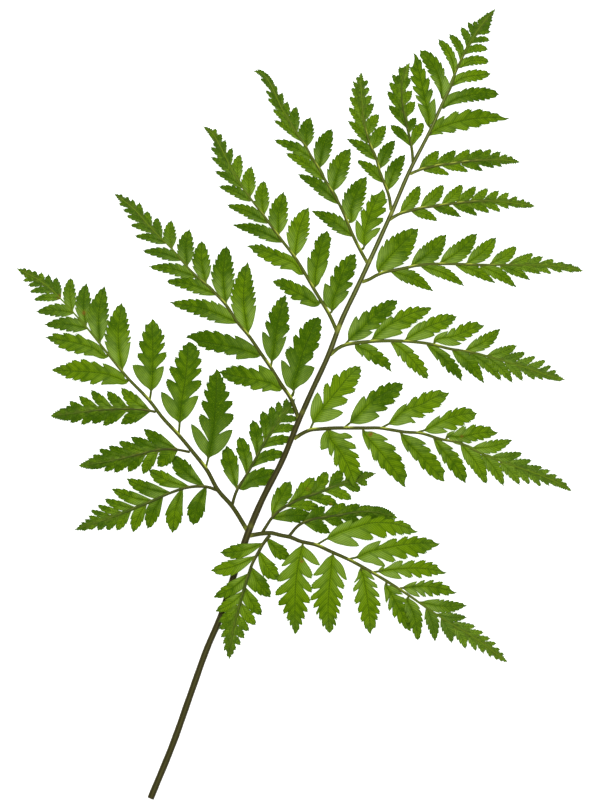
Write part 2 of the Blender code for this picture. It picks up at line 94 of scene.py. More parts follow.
# The measures of a point, in columns. Three at a time are kept in the mesh as "form",
# "tint" and "run". For a leaf: distance from the midrib and the edge, and spots; tone,
# painted sheen with the paleness of the outer leaflets, and tip; place along the side
# veins, distance from a fold, which also sets the painted shade of the creases, and the
# own stalk.
RIB, EDGE, SPOT, TONE, SHEEN_AND_PALE, TIP, PHASE, VALLEY, OWN_STALK = range(9)
# For a stalk: place around it and along it, and cream flecks; nearness to its start, how
# far it is a slim rib below a blade, and how deep its colour is; how brown it is.
AROUND, ALONG, FLECK, START, SLIM, DEEP, BROWN = range(7)
MEASURES = 9

# Route of the rachis: picture x, y and the width across, pixels.
RACHIS = (
    (150.5, 798.5, 6.8), (174, 741, 6.8), (191, 693, 6.7), (208, 646, 6.5),
    (220, 618, 6.4), (234, 575, 6.5), (248, 533, 7.0), (262, 500, 6.4), (282, 461, 5.9),
    (299, 420, 5.7), (310, 395, 5.4), (328, 356, 5.4), (343, 317, 5.2), (356, 290, 4.9),
    (370, 260, 4.7), (391, 214, 4.3), (410, 170, 4.0), (430, 131, 3.5), (444, 100, 3.0),
    (456, 71, 2.6), (464, 54, 2.2), (472, 39, 1.9), (480, 27, 1.6), (487, 18, 1.2),
)


def leaf(width, axis, tips=(), **extra):
    """Write down one leaflet: its width, the route of its midrib and its lobe tips."""
    return dict(width=width, axis=axis, tips=tips, **extra)


def plain(*rows):
    """Write down straight leaflets whose lobes follow a rule: width, base and tip."""
    return [leaf(width, tuple(axis)) for width, *axis in rows]


def pinna(values, *leaflets):
    """Write down one pinna: its costa's values and its leaflets."""
    return dict(values, leaflets=leaflets)


# Each pinna, all places in picture pixels as read off. "costa" is the costa's route and
# "width" its width at both ends. "heights" are those of its middle at the base, half way
# and at the tip in millimetres, and "roll" is the slope across it. "field" names the pinna
# whose height a branch follows. "shade" makes the whole pinna lighter or darker. "cut" is
# how deep the lobes are and "full" what the widths of the plain leaflets are taken times.
# "wing" is the half width of the blade beside the costa, and it marks a narrow pinna where
# no "broad" is given: the length below which leaflets run together. "free" is how many of
# each side stay apart there. "spread" is the share of the gap to the next leaflet that a
# joined leaflet's foot takes up.
# Each leaflet: "tone" makes it lighter or darker, "notches" are the places between its
# lobes, "stalk" is the length of its own stalk and "lift" a rise in millimetres.
PINNAE = {}
PINNAE["left_1"] = pinna(
    dict(shade=-0.3, costa=(247, 530, 232, 506, 218, 490, 207, 470, 193, 452, 178, 434, 163, 418,
         150, 401, 128, 378, 105, 350, 88, 329, 72, 311, 60, 298, 45, 284, 30, 275, 16, 268),
         width=(3.4, 1.4), heights=(1.8, 5.0, 0.35)),
    leaf(34, (206, 468, 209, 455, 214, 425, 216, 400, 216, 369),
         (191, 424, 200, 414, 202, 400, 204, 389, 207, 381, 210, 375,
          233, 430, 234, 415, 233, 401, 230, 392, 226, 384, 223, 377), stalk=10, tone=-1.1,
         notches=(209, 442, 209, 419, 208, 402, 208, 391, 209, 383, 219, 434, 225, 413,
                  225, 401, 225, 391, 223, 382)),
    leaf(40, (179, 434, 180, 420, 182, 400, 186, 375, 188, 342),
         (161, 392, 167, 379, 170, 366, 175, 357, 179, 350, 183, 345,
          199, 396, 202, 381, 202, 368, 202, 359, 200, 350, 197, 345), stalk=11, tone=-0.8,
         notches=(174, 400, 176, 383, 177, 368, 179, 358, 183, 350, 189, 398, 192, 381,
                  196, 369, 198, 358, 197, 350)),
    leaf(32, (150, 400, 152, 385, 153, 360, 152, 319),
         (132.5, 365.5, 137.5, 353.5, 139, 341, 142.5, 331, 146, 324,
          164.5, 366.5, 167, 352.5, 165.5, 342, 165, 334.5, 161.5, 328, 157, 323),
         stalk=9, tone=0.1,
         notches=(144.5, 366, 143, 353, 143.5, 341, 145.5, 332, 156, 369, 158.5, 354,
                  160.5, 344, 161.5, 335, 159.5, 329)),
    *plain((24, 124, 370, 122, 301), (20, 102, 342, 104, 286), (16, 86, 326, 86, 283),
           (13, 74, 310, 71, 277), (10, 60, 296, 56, 277), (8, 51, 290, 48, 274),
           (7, 43, 284, 41, 272), (6, 36, 280, 34, 270)),
    leaf(24, (127, 381, 118, 378, 105, 374, 90, 372, 70, 371, 52, 370),
         (103, 363, 91, 361.5, 81, 359, 72, 360, 66, 363, 60, 365.5, 56, 367.5,
          101, 385, 90, 384.5, 79, 381.5, 72, 380, 65, 378, 61, 375, 57, 373), tone=0.9,
         notches=(104, 367, 92, 363, 81, 362, 72, 362.5, 66, 365, 60, 367, 103, 380.5,
                  91, 380.5, 81, 379.5, 73, 378, 66, 376, 61, 374)),
    leaf(18, (107, 356, 95, 349, 80, 344, 60, 340, 45, 338),
         (87, 338.5, 75, 334, 63, 333.5, 52, 334, 48, 336.5,
          84, 355.5, 74, 353.5, 65, 350.5, 58, 347, 54, 343.5, 50, 341), tone=0.7,
         notches=(88, 340, 76, 336, 64, 335, 53, 336, 84, 353, 75, 351, 66, 349, 59, 345,
                  54, 342)),
    *plain((14, 84, 331, 44, 325), (13, 72, 314, 36, 312), (8, 58, 300, 33, 300),
           (7, 50, 293, 29, 292), (6, 42, 287, 27, 286), (5, 36, 282, 22, 281)))
PINNAE["left_1_lower"] = pinna(
    dict(shade=-0.35, field="left_1", wing=2.6, free=0, costa=(190, 452, 172, 449, 158, 450,
         140, 454, 115, 460, 78, 466), width=(2.0, 1.0)),
    *plain((13, 177, 448.5, 144, 429), (11, 160, 449, 131, 437), (10, 148, 452, 118, 441),
           (9, 135, 455, 108, 446), (8, 125, 457, 98, 449), (7, 113, 460, 92, 455),
           (15, 177, 449.5, 158, 467), (12, 158, 451, 143, 474), (11, 146, 453, 128, 472),
           (10, 137, 455, 114, 473), (9, 125, 458, 104, 472), (8, 113, 460, 94, 469)))
PINNAE["left_1_third"] = pinna(
    dict(shade=-0.3, field="left_1", wing=3.2, free=0, costa=(156, 412, 146, 410, 125, 409,
         100, 410, 75, 413, 50, 416), width=(1.9, 1.0)),
    *plain((13, 150, 411, 121, 388), (11, 128, 409, 107, 391), (10, 113, 409, 91, 390),
           (9, 100, 410, 79, 396), (8, 88, 412, 69, 401), (13, 150, 411, 121, 424),
           (11, 128, 409, 103, 426), (10, 113, 410, 92, 424), (9, 103, 411, 81, 425),
           (8, 90, 412, 70, 423)))
PINNAE["left_1_inner"] = pinna(
    dict(shade=-0.45, costa=(232, 506, 235, 495, 238, 488, 244, 479, 250, 469, 256, 458, 262, 447,
         268, 437, 275, 426, 283, 414, 296, 398), width=(2.4, 1.2), heights=(2.4, 1.2, 0.45),
         wing=1.3, spread=0.42),
    leaf(16, (237, 489, 233, 475, 229, 460, 226, 446)),
    leaf(13, (247, 474, 246, 462, 243, 449, 239, 436)),
    leaf(12, (257, 456, 257, 446, 256, 434, 252, 420)),
    leaf(11, (265, 441, 266, 431, 265, 421, 262, 411)),
    leaf(9, (272, 430, 273, 419, 271, 406)), leaf(7, (278, 421, 279, 411, 278, 401)),
    leaf(6, (284, 413, 286, 405, 286, 398)),
    leaf(17, (240, 488, 250, 481, 262, 477, 278, 473)),
    leaf(11.5, (251, 467, 261, 458, 272, 455, 285, 454)),
    leaf(9.5, (262, 448, 270, 442, 280, 440, 293, 439)),
    leaf(8.5, (271, 433, 279, 429, 287, 428, 297, 428)),
    leaf(7, (278, 422, 287, 419, 298, 419)), leaf(6, (285, 412, 291, 411, 298, 410)))
PINNAE["left_1_outer"] = pinna(
    dict(shade=-0.3, costa=(219, 491, 208, 487, 190, 487, 170, 493, 152, 501, 135, 508, 110, 518,
         90, 525, 74, 530), width=(2.4, 1.2), heights=(3.3, 3.0, 0.35), wing=1.5, free=2),
    leaf(18, (205, 484, 172, 455), lift=0.6),
    *plain((15, 190, 487, 148, 470), (13, 170, 493, 126, 479), (12, 152, 501, 112, 489),
           (9, 135, 508, 104, 499), (7, 122, 512, 97, 505), (6, 112, 516, 90, 510),
           (19, 206, 488, 193, 526), (18, 183, 491, 173, 533), (14, 163, 498, 148, 529),
           (13, 146, 504, 133, 532), (11, 131, 511, 117, 531), (9, 118, 515, 107, 531),
           (8, 107, 519, 98, 531), (6, 97, 523, 89, 530)))
PINNAE["left_2"] = pinna(
    dict(shade=-0.42, costa=(299, 420, 291, 399, 281, 384, 271, 368, 260, 352, 249, 336, 238, 323,
         226, 305, 211, 289, 191, 271, 172, 249, 152, 229, 135, 210, 114, 193), width=(3.0, 1.3),
         heights=(1.5, 4.6, 0.35)),
    leaf(34, (291.5, 397, 294, 383, 298, 370, 303, 352, 310, 335, 318.5, 316),
         (281, 360, 286, 349.5, 289.5, 346, 295, 334, 300, 327, 305.5, 321.5, 310, 319,
          314, 317.5, 315, 368, 314, 354, 320, 344, 321.5, 335.5, 322.5, 327.5,
          321, 319), stalk=8,
         notches=(290, 367, 288, 348.5, 293.5, 348.5, 299.5, 338, 303, 329, 308, 322,
                  312, 319.5, 305, 365, 313, 352, 317, 342.5, 319.5, 332, 320.5, 325)),
    leaf(28, (271, 366, 273, 355, 275, 340, 278, 322, 281, 308, 285, 294.5),
         (262, 331.5, 266, 320, 269, 311, 273, 305, 277, 300, 281, 297,
          287, 336, 290, 326, 290, 316, 289.5, 307.5, 288, 302.5, 286.5, 297), stalk=4,
         notches=(269.5, 337, 270.5, 323, 271.5, 312.5, 275.5, 305.5, 279, 300, 282.5, 338,
                  286.5, 323.5, 287.5, 313.5, 287, 306.5, 285.5, 301.5)),
    *plain((24, 249, 334, 247, 262), (22, 226, 304, 227, 245), (18, 206, 283, 202, 240),
           (17, 188, 266, 189, 229), (13, 172, 249, 171, 220), (10, 160, 238, 157, 217),
           (9, 150, 227, 147, 210), (7, 142, 217, 139, 202), (6, 135, 209, 132, 199),
           (5, 128, 203, 127, 196)),
    leaf(24, (281, 388, 272, 383.5, 258, 380, 240, 377, 219, 372.5),
         (259, 364.5, 248, 367.5, 237, 365, 230, 365.5, 225.5, 368, 222, 370.5,
          262, 392, 250.5, 389.5, 241.5, 386, 234, 384.5, 227.5, 380.5, 222.5, 377), lift=1.0,
         notches=(259, 371.5, 249, 369.5, 238, 367, 231, 367.5, 226, 370, 262.5, 388.5,
                  250.5, 385.5, 242, 384, 234, 382, 227, 379)),
    leaf(22, (260, 354.5, 250, 352, 235, 348, 215, 344, 184, 338.5),
         (234.5, 335, 224, 333.5, 212.5, 330.5, 203, 330, 196.5, 331.5, 190.5, 334,
          187, 336, 236, 359.5, 224, 354, 214, 352, 205, 349.5, 198, 345.5), lift=0.8,
         notches=(235.5, 339, 225, 335.5, 214, 333, 204, 332, 197, 333, 191, 335, 236.5, 354.5,
                  224.5, 352, 214, 350, 206, 347.5, 197.5, 343.5)),
    *plain((18, 236, 324, 169, 303), (14, 213, 298, 165, 281), (12, 197, 277, 148, 267),
           (11, 180, 261, 142, 251), (9, 163, 246, 134, 236), (8, 152, 233, 130, 225),
           (7, 143, 225, 126, 216), (6, 135, 218, 122, 210), (5, 128, 209, 118, 204)))
PINNAE["left_3"] = pinna(
    dict(shade=-0.1, costa=(338, 334, 330, 316, 315, 291, 296, 259, 280, 238, 264, 216, 245, 191,
         231, 168, 220, 146, 213, 134, 203, 126), width=(2.8, 1.3), heights=(1.3, 4.2, 0.35)),
    leaf(28, (330.5, 313, 333, 300, 338, 287, 343, 272, 355, 253.5),
         (324.5, 283, 331.5, 274, 335.5, 265, 341, 259.5, 346.5, 256, 351, 254,
          349.5, 291.5, 353.5, 283, 355.5, 272, 357.5, 265, 356.5, 259, 356, 255), stalk=4,
         notches=(330, 286, 334, 277, 339, 267, 344.5, 260, 348.5, 256, 346, 290.5,
                  347.5, 281.5, 353, 271, 355.5, 263.5, 355, 258)),
    leaf(25, (314.5, 287, 315, 277, 317, 265, 320, 250, 326.5, 230.5),
         (307.5, 256, 312.5, 249, 315.5, 240, 318.5, 236, 321.5, 233,
          328.5, 261.5, 330, 252.5, 331, 244.5, 331.5, 238, 329, 233),
         notches=(310.5, 259, 314.5, 249.5, 317.5, 240.5, 320, 236.5, 327, 260, 328.5, 250,
                  330, 243, 329.5, 236.5)),
    *plain((21, 298, 255, 308, 207), (19, 281, 234, 284, 192), (15, 265, 215, 264, 180),
           (14, 251, 197, 251, 166), (11, 239, 179, 240, 154), (7, 231, 164, 232, 147),
           (6, 226, 153, 225, 139), (6, 221, 143, 221, 133)),
    leaf(17, (318, 303, 305, 297, 290, 289, 273, 281.5),
         (302.5, 284, 295.5, 282.5, 288, 279, 281, 278, 277, 279.5,
          299.5, 304, 290, 298.5, 284, 292.5, 279.5, 289, 275.5, 285.5),
         notches=(302, 286.5, 295, 283.5, 288, 280.5, 281, 279.5, 301, 300.5, 292, 295.5,
                  285, 290.5, 280, 287)),
    leaf(17, (303, 273.5, 295, 264, 280, 257, 265, 251, 247, 247),
         (283, 252, 274, 249, 267, 246.5, 260, 244, 254.5, 244.5,
          279.5, 269, 270.5, 264.5, 263.5, 260.5, 257, 255.5, 252.5, 252),
         notches=(282, 253, 274, 250.5, 267, 248, 260, 245.5, 281, 266, 271.5, 262, 264, 258.5,
                  257.5, 253.5)),
    *plain((13, 282, 242, 233, 225), (12, 268, 223, 226, 205), (10, 251, 201, 218, 186),
           (9, 241, 189, 214, 171), (9, 234, 175, 211, 157), (8, 227, 164, 210, 147),
           (5, 221, 151, 212, 143)))
PINNAE["left_4"] = pinna(
    dict(full=1.05, shade=-0.1, costa=(368, 264, 357, 244, 350, 229, 344, 214, 337, 200, 325, 180,
         319, 169, 311, 156, 306, 147, 295, 131, 289, 120, 282, 109, 276, 96, 271, 85, 265, 76,
         259, 72, 253, 71), width=(2.6, 1.2), heights=(1.2, 3.8, 0.35)),
    leaf(28, (363, 249, 364, 236, 369, 217, 375, 203, 382, 189),
         (356, 220, 363, 208, 368, 200, 372, 194, 388, 199, 387, 208, 384, 218,
          381, 228), stalk=6, lift=-0.8),
    leaf(21, (350, 222, 351, 210, 357, 193, 366, 176)),
    *plain((20, 335, 191, 350, 148), (17, 321, 168, 332, 128), (16, 308, 147, 310, 117),
           (11, 298, 130, 296, 106), (8, 289, 116, 287, 101), (7, 283, 106, 282, 92),
           (5, 277, 95, 276, 85), (4, 272, 86, 272, 79), (15, 352, 236, 312, 211),
           (13, 337, 205, 297, 174), (12, 325, 180, 285, 153), (11, 312, 160, 273, 140),
           (8, 299, 143, 273, 120), (8, 292, 127, 272, 109), (7, 285, 116, 267, 98),
           (6, 280, 106, 265, 90), (5, 272, 92, 260, 78)))
PINNAE["left_5"] = pinna(
    dict(full=1.05, shade=-0.15, costa=(391, 210, 389, 196, 385, 185, 380, 173, 376, 158, 371, 147,
         367, 135, 364, 122, 362, 101, 361, 85, 361, 71), width=(2.4, 1.2), heights=(1.1, 3.2,
         0.35)),
    *plain((15, 390, 190, 405, 154), (13, 381, 169, 395, 140), (13, 374, 149, 386, 125),
           (12, 367, 134, 379, 114), (9, 363, 120, 374, 103), (8, 363, 108, 372, 95),
           (6, 362, 97, 370, 87), (5, 361, 88, 369, 80)),
    leaf(11, (383, 182, 356, 160), lift=0.6),
    *plain((11, 375, 160, 347, 139), (11, 370, 143, 348, 121), (10, 364, 130, 348, 107),
           (9, 362, 117, 349, 96), (8, 361, 106, 351, 87), (6, 361, 96, 353, 81),
           (5, 361, 86, 356, 76)))
PINNAE["left_6"] = pinna(
    dict(full=1.05, shade=-0.2, costa=(413, 163, 412, 150, 409, 135, 405, 118, 402, 100, 402, 85,
         405, 72, 410, 62), width=(2.2, 1.1), heights=(1.0, 1.9, 0.35), wing=2.2),
    *plain((10, 410, 146, 390, 125), (9, 406, 128, 388, 105), (9, 403, 113, 387, 91),
           (8, 402, 101, 389, 82), (7, 402, 92, 392, 74), (6, 403, 82, 399, 66),
           (11, 411, 147, 424, 122), (8, 409, 132, 416, 117), (10, 405, 117, 415, 101),
           (9, 403, 105, 412, 90), (7, 403, 92, 411, 77)))
PINNAE["right_1"] = pinna(
    dict(shade=0.15, costa=(248, 536, 262, 533.5, 272, 533, 280, 535, 290, 537, 300, 541, 317, 545,
         330, 551, 350, 560, 370, 571, 390, 583, 410, 596, 430, 610, 450, 623, 470, 635, 490, 649,
         508, 663), width=(3.2, 1.3), heights=(1.8, 5.0, 0.35)),
    leaf(22, (316, 545, 328, 538, 340, 532, 355, 527, 370, 523, 390, 523,
              418, 531),
         (352, 519, 371, 516, 385, 517, 395, 520, 404, 521, 411, 526,
          359, 546, 374, 538, 387, 537, 396, 536, 404, 535, 411, 534),
         stalk=12, lift=1.0, notches=(352, 523, 371, 519, 351, 537, 370, 533)),
    leaf(22, (348, 559, 357, 557, 370, 551, 385, 548, 400, 545, 420, 543,
              440, 543),
         (381, 540, 397, 539, 408, 536, 418, 536, 427, 538, 433, 540,
          385, 566, 396, 561, 408, 558, 419, 557, 427, 553, 432, 549), stalk=8, cut=0.9),
    leaf(18, (373, 572, 395, 569, 420, 568, 447, 572),
         (385, 565, 403, 561, 415, 560, 426, 560, 433, 562, 438, 565,
          402, 579, 413, 577, 422, 578, 432, 576, 438, 575), stalk=5),
    leaf(16, (400, 588, 425, 586, 457, 592),
         (417, 581, 425, 580, 434, 580, 443, 582, 450, 587,
          420, 597, 426, 597, 433, 597, 440, 596, 449, 595), stalk=3),
    *plain((13, 420, 602, 467, 605), (9, 437, 613, 467, 617), (8, 452, 622, 476, 626),
           (7, 464, 631, 484, 632), (6, 474, 637, 491, 638), (5, 483, 643, 497, 643)),
    leaf(36, (303, 543, 299, 560, 296.5, 575, 295, 600, 295, 634),
         (281, 566, 277, 581, 275, 595, 278, 605, 283, 614, 287, 621, 290, 626, 293, 630,
          320, 565, 312, 578, 312, 592, 310, 603, 308, 612, 305, 619, 302, 625,
          299, 630), stalk=2, lift=0.8,
         notches=(291, 563, 290, 578, 287, 592, 286, 604, 288, 612, 290, 620, 292, 625,
                  303, 557, 302, 574, 303, 588, 303, 602, 303, 611, 301, 618, 299, 624)),
    leaf(33, (333, 554, 331, 570, 329, 590, 328, 610, 329.5, 633),
         (313, 575, 311, 588, 310, 600, 313, 608, 316, 616, 320, 621, 323, 627, 326, 630,
          347, 580, 344, 589, 343, 600, 341, 607, 340, 614, 337, 620, 336, 626,
          333, 630), stalk=2,
         notches=(323, 574, 320, 588, 318, 598, 319, 606, 319, 612, 322, 619, 325, 625,
                  337, 572, 337, 586, 337, 597, 336, 605, 336, 612, 334, 618, 333, 624)),
    leaf(27, (361, 568, 363, 575, 365, 585, 368, 605, 371, 634),
         (354, 583, 353, 592, 355, 604, 358, 613, 361, 622, 366, 629,
          375, 580, 378, 588, 380, 597, 381, 606, 380, 614, 378, 620, 375, 628), stalk=2),
    leaf(21, (386, 583, 390, 592, 396, 603, 403, 616, 411, 631),
         (386, 603, 389, 611, 394, 618, 400, 624, 406, 629,
          403, 594, 408, 602, 411, 611, 413, 618, 413, 625), stalk=2),
    leaf(15, (408, 597, 413, 612, 416, 625, 418, 642), stalk=2, lift=0.9),
    *plain((13, 426, 609, 435, 641), (12, 441, 619, 452, 643), (10, 455, 627, 466, 649),
           (8, 466, 636, 476, 651), (7, 476, 642, 484, 654), (5, 485, 648, 491, 658)))
PINNAE["right_1_inner"] = pinna(
    dict(shade=-0.1, costa=(262, 533, 267, 525, 271, 519, 280, 510, 292, 503, 305, 497, 318, 493,
         330, 488, 345, 483, 360, 478, 377, 473), width=(2.4, 1.1), heights=(2.2, 1.1, 0.35),
         wing=1.3, spread=0.45),
    leaf(16, (272, 516, 276, 505, 283, 494, 290, 481)),
    *plain((15, 288, 506, 314, 477), (12, 311, 495, 327, 471), (12, 329, 488, 341, 470),
           (8, 345, 483, 353, 471), (6, 354, 480, 363, 470), (14, 273, 519, 313, 517),
           (10, 287, 507, 320, 508), (10, 305, 498, 338, 504), (10, 325, 492, 352, 499),
           (9, 343, 485, 361, 491), (7, 355, 480, 368, 485)))
PINNAE["right_1_second"] = pinna(
    dict(shade=-0.25, costa=(289, 536, 299, 525, 310, 520, 325, 517, 340, 515, 355, 512, 375, 512,
         398, 518), width=(2.4, 1.1), heights=(3.4, 2.5, 1.0), wing=3.0, free=0),
    *plain((13, 304, 522, 325, 506), (13, 322, 518, 346, 503), (12, 338, 515, 360, 504),
           (10, 352, 513, 372, 506), (9, 366, 512, 383, 508), (7, 378, 513, 390, 512),
           (12, 304, 522, 330, 533), (11, 323, 518, 344, 525), (10, 338, 516, 360, 522),
           (9, 356, 513, 378, 520), (7, 372, 513, 388, 519)))
PINNAE["right_1_outer"] = pinna(
    dict(shade=0.05, costa=(270, 535, 263, 544, 258, 553, 253, 562, 249, 573, 245, 586, 241, 600,
         237, 615, 233, 632, 229, 660), width=(2.6, 1.2), heights=(2.6, 5.3, 3.0), roll=-0.09,
         wing=1.6, free=2),
    *plain((16, 262, 542, 220, 553), (16, 256, 556, 211, 571), (13, 249, 574, 214, 597),
           (12, 244, 592, 216, 611), (11, 240, 605, 219, 622), (9, 237, 614, 219, 629),
           (8, 235, 622, 221, 637), (7, 233, 630, 223, 644), (6, 231, 638, 224, 651),
           (15, 269, 540, 290, 559), (17, 260, 552, 279, 580), (16, 252, 568, 271, 597),
           (13, 246, 588, 262, 615), (11, 241, 603, 256, 625), (9, 239, 615, 249, 631),
           (8, 236, 625, 245, 638), (6, 233, 634, 241, 645), (5, 231, 642, 236, 650)))
PINNAE["right_2"] = pinna(
    dict(shade=0.12, costa=(294, 439, 303, 433, 310, 430, 320, 429, 335, 428, 350, 428, 365, 428,
         380, 428, 392, 430, 405, 432, 420, 433, 440, 439, 460, 443, 478, 452, 500, 461, 520, 468,
         540, 475, 560, 484, 572, 491), width=(2.9, 1.3), heights=(1.5, 4.6, 0.35)),
    leaf(36, (310, 429.5, 315, 419, 322, 409, 331, 398, 340, 387, 350, 375, 361, 365.5),
         (317, 392, 327, 382, 336, 373, 343.5, 369.5, 350, 367, 356, 365.5,
          343.5, 413, 348.5, 400, 356.5, 389, 359, 382, 361.5, 376.5, 361.5, 370), stalk=7,
         notches=(323, 403.5, 330, 387, 339.5, 377, 346, 370.5, 352, 367.5, 332, 408.5,
                  342, 396, 352.5, 387.5, 357, 380, 359.5, 374)),
    leaf(29, (345, 427, 352, 421, 360, 413, 370, 403, 380, 396, 392, 389, 404, 383),
         (363.5, 395.5, 373, 389.5, 382, 384.5, 390, 382, 396, 382, 400, 382.5,
          380, 416.5, 388.5, 408.5, 396, 401.5, 400.5, 395.5, 403, 388), stalk=6,
         notches=(366, 399.5, 375.5, 391.5, 384, 386.5, 391, 384, 398, 383, 375.5, 412,
                  384.5, 405.5, 393, 398.5, 399, 392)),
    leaf(24, (381, 428, 390, 423, 405, 410, 420, 405, 435, 397, 449, 392),
         (407, 403, 417, 396, 426, 391, 433, 390, 441, 390,
          416, 423, 426, 416, 435, 411, 442, 405, 446, 398), stalk=8, cut=0.7),
    leaf(20, (418, 432, 425, 430, 440, 422, 455, 416, 465, 414, 478, 413),
         (440, 415, 452, 410, 458, 407, 466, 407, 472, 409,
          448, 432, 458, 429, 465, 425, 471, 422, 475, 418), stalk=6, cut=0.7),
    leaf(17, (446, 438, 460, 437, 480, 433, 498, 432),
         (455, 431, 466, 426, 476, 424, 484, 425, 491, 427,
          465, 445, 472, 443, 478, 441, 484, 440, 491, 437), stalk=3, cut=0.7),
    *plain((13, 472, 447, 512, 440), (10, 491, 455, 523, 453), (8, 508, 463, 532, 460),
           (7, 520, 467, 543, 467), (6, 533, 471, 551, 470), (5, 544, 475, 558, 475)),
    leaf(31, (328, 429, 330, 438, 338, 449, 346, 462, 356, 487),
         (321, 450, 331, 457, 336, 467, 342, 474, 348, 480,
          353, 437, 357, 448, 360, 458, 361, 467, 361, 475), stalk=0, cut=0.7,
         notches=(328, 448, 334, 450, 344, 439, 349, 449)),
    leaf(24, (363, 430, 368, 438, 377, 448, 389, 463, 406, 487),
         (369, 451, 376, 462, 383, 470, 391, 476, 398, 482,
          389, 440, 397, 450, 403, 460, 406, 468, 407, 477), stalk=2, cut=0.5),
    leaf(22, (400, 432, 406, 441, 415, 450, 428, 464, 445, 481),
         (408, 453, 417, 461, 424, 470, 431, 476, 438, 480,
          427, 444, 432, 451, 438, 458, 442, 465, 445, 472), stalk=2, cut=0.5),
    leaf(18, (433, 437, 440, 447, 452, 461, 466, 483),
         (440, 456, 445, 464, 451, 471, 457, 478, 462, 481,
          454, 449, 460, 456, 464, 463, 466, 470, 467, 477), stalk=2, cut=0.5),
    leaf(15, (461, 444, 487, 485), cut=0.5),
    *plain((13, 482, 454, 504, 486), (11, 500, 462, 520, 485), (9, 513, 467, 530, 485),
           (8, 525, 471, 541, 487), (7, 536, 476, 550, 486), (5, 546, 479, 557, 487),
           (4, 556, 484, 566, 489)))
PINNAE["right_3"] = pinna(
    dict(shade=0.15, costa=(330, 355, 340, 347, 345, 345, 355, 343, 365, 342, 380, 341, 400, 341,
         415, 342, 430, 344, 450, 349, 470, 352, 490, 357, 510, 363, 530, 369, 550, 376, 566, 380),
         width=(2.8, 1.3), heights=(1.4, 4.4, 0.35)),
    leaf(29, (345.5, 344, 352, 337, 360, 330, 370, 320, 381, 311, 397, 300),
         (356, 315.5, 366, 310, 374.5, 305, 382, 302, 388, 299.5, 393, 299.5,
          373, 332.5, 381, 326, 387, 320.5, 393, 314, 396, 308, 397.5, 303), stalk=4,
         notches=(358.5, 320, 369, 312.5, 377, 306.5, 384, 303, 390, 300.5, 369.5, 330.5,
                  379, 323.5, 386, 317.5, 391.5, 311.5, 395, 305.5)),
    leaf(25, (371, 341, 378, 334, 386, 327, 396, 321, 410, 314, 431.5, 308),
         (391, 316, 402, 309.5, 411, 306.5, 418.5, 306, 425, 307,
          403, 333.5, 412.5, 325, 418, 321.5, 423.5, 317.5, 428.5, 312.5), stalk=2,
         notches=(393.5, 318, 404, 311.5, 412.5, 308.5, 420, 308, 400.5, 330, 411, 324,
                  417, 320, 422, 316.5)),
    leaf(19, (404, 341, 410, 337, 420, 331, 432, 325, 444, 321, 456.5, 316),
         (420, 322, 425, 320.5, 433, 316, 441, 313.5, 448, 313.5, 453, 314.5,
          434.5, 336, 441.5, 331.5, 449, 327.5, 453, 323, 455.5, 319.5), stalk=2,
         notches=(421, 322.5, 426.5, 321.5, 435, 317.5, 443, 315, 449, 315, 433.5, 333,
                  440, 330, 448.5, 325.5, 452, 321.5)),
    leaf(17, (434, 343, 455, 336, 470, 329, 484, 325),
         (448, 331, 455, 327, 463, 323, 471, 321, 478, 322,
          462, 344, 467, 340, 473, 336, 479, 331), stalk=2, cut=0.8),
    *plain((14, 465, 349, 500, 329), (11, 487, 354, 517, 345), (9, 500, 358, 526, 352),
           (7, 515, 362, 536, 356), (7, 527, 365, 546, 360), (5, 538, 369, 552, 365),
           (5, 546, 373, 557, 370)),
    leaf(17, (357, 345, 366, 350, 376, 358, 392, 371.5),
         (362, 357.5, 369.5, 361.5, 376, 365, 383, 367.5, 388, 370,
          378.5, 349, 384, 354, 389.5, 359.5, 391.5, 364.5),
         notches=(363.5, 355, 371, 359.5, 378, 364, 384.5, 366.5, 377, 351, 383, 356, 388, 361.5)),
    leaf(18, (391, 342, 398, 346, 405, 352, 414, 362, 428, 380),
         (398, 357, 404.5, 363.5, 409.5, 369, 415.5, 373, 420, 376, 424, 378.5,
          414.5, 351.5, 419.5, 357, 424.5, 363.5, 428, 369.5, 428.5, 376),
         notches=(400, 355.5, 405.5, 361.5, 411.5, 368, 416.5, 371.5, 421, 375, 413, 353,
                  418.5, 358.5, 423.5, 366, 426.5, 371.5)),
    leaf(17, (427, 344.5, 435, 351, 448, 363, 462, 381),
         (437.5, 361, 443.5, 367.5, 449, 373.5, 454, 376, 458, 378.5,
          450.5, 355.5, 455.5, 361, 459, 366, 461.5, 371, 462.5, 376.5),
         notches=(438.5, 359, 445, 366, 450.5, 371.5, 455, 374.5, 450, 357.5, 454.5, 362.5,
                  458, 367.5, 461, 372.5)),
    leaf(14, (452, 349, 484, 383), cut=0.6),
    *plain((11, 470, 353, 502, 381), (11, 487, 357, 513, 383), (10, 505, 361, 523, 381),
           (9, 520, 365, 535, 380), (7, 532, 370, 543, 380), (6, 541, 373, 551, 380),
           (5, 549, 375, 558, 381)))
PINNAE["right_4"] = pinna(
    dict(full=1.0, cut=0.75, shade=0.12, costa=(362, 282, 370, 279, 375, 276, 382, 273, 401, 269,
         420, 265, 440, 264, 480, 265, 520, 265, 557, 266, 570, 268, 584, 271), width=(2.6, 1.2),
         heights=(1.2, 4.0, 0.35)),
    leaf(28, (379, 271, 385, 262, 398, 248, 418, 228)),
    *plain((20, 410, 267, 446, 234), (18, 439, 264, 477, 233), (16, 466, 264, 496, 237),
           (13, 490, 264, 517, 246), (9, 509, 264, 534, 253), (8, 526, 264, 543, 256),
           (6, 540, 264, 555, 259), (5, 553, 266, 565, 262), (14, 391, 271, 433, 291),
           (12, 421, 266, 465, 286), (11, 456, 265, 495, 283), (12, 480, 266, 516, 287),
           (10, 500, 266, 530, 280), (8, 515, 266, 541, 274), (7, 532, 266, 552, 274),
           (6, 548, 267, 563, 273)))
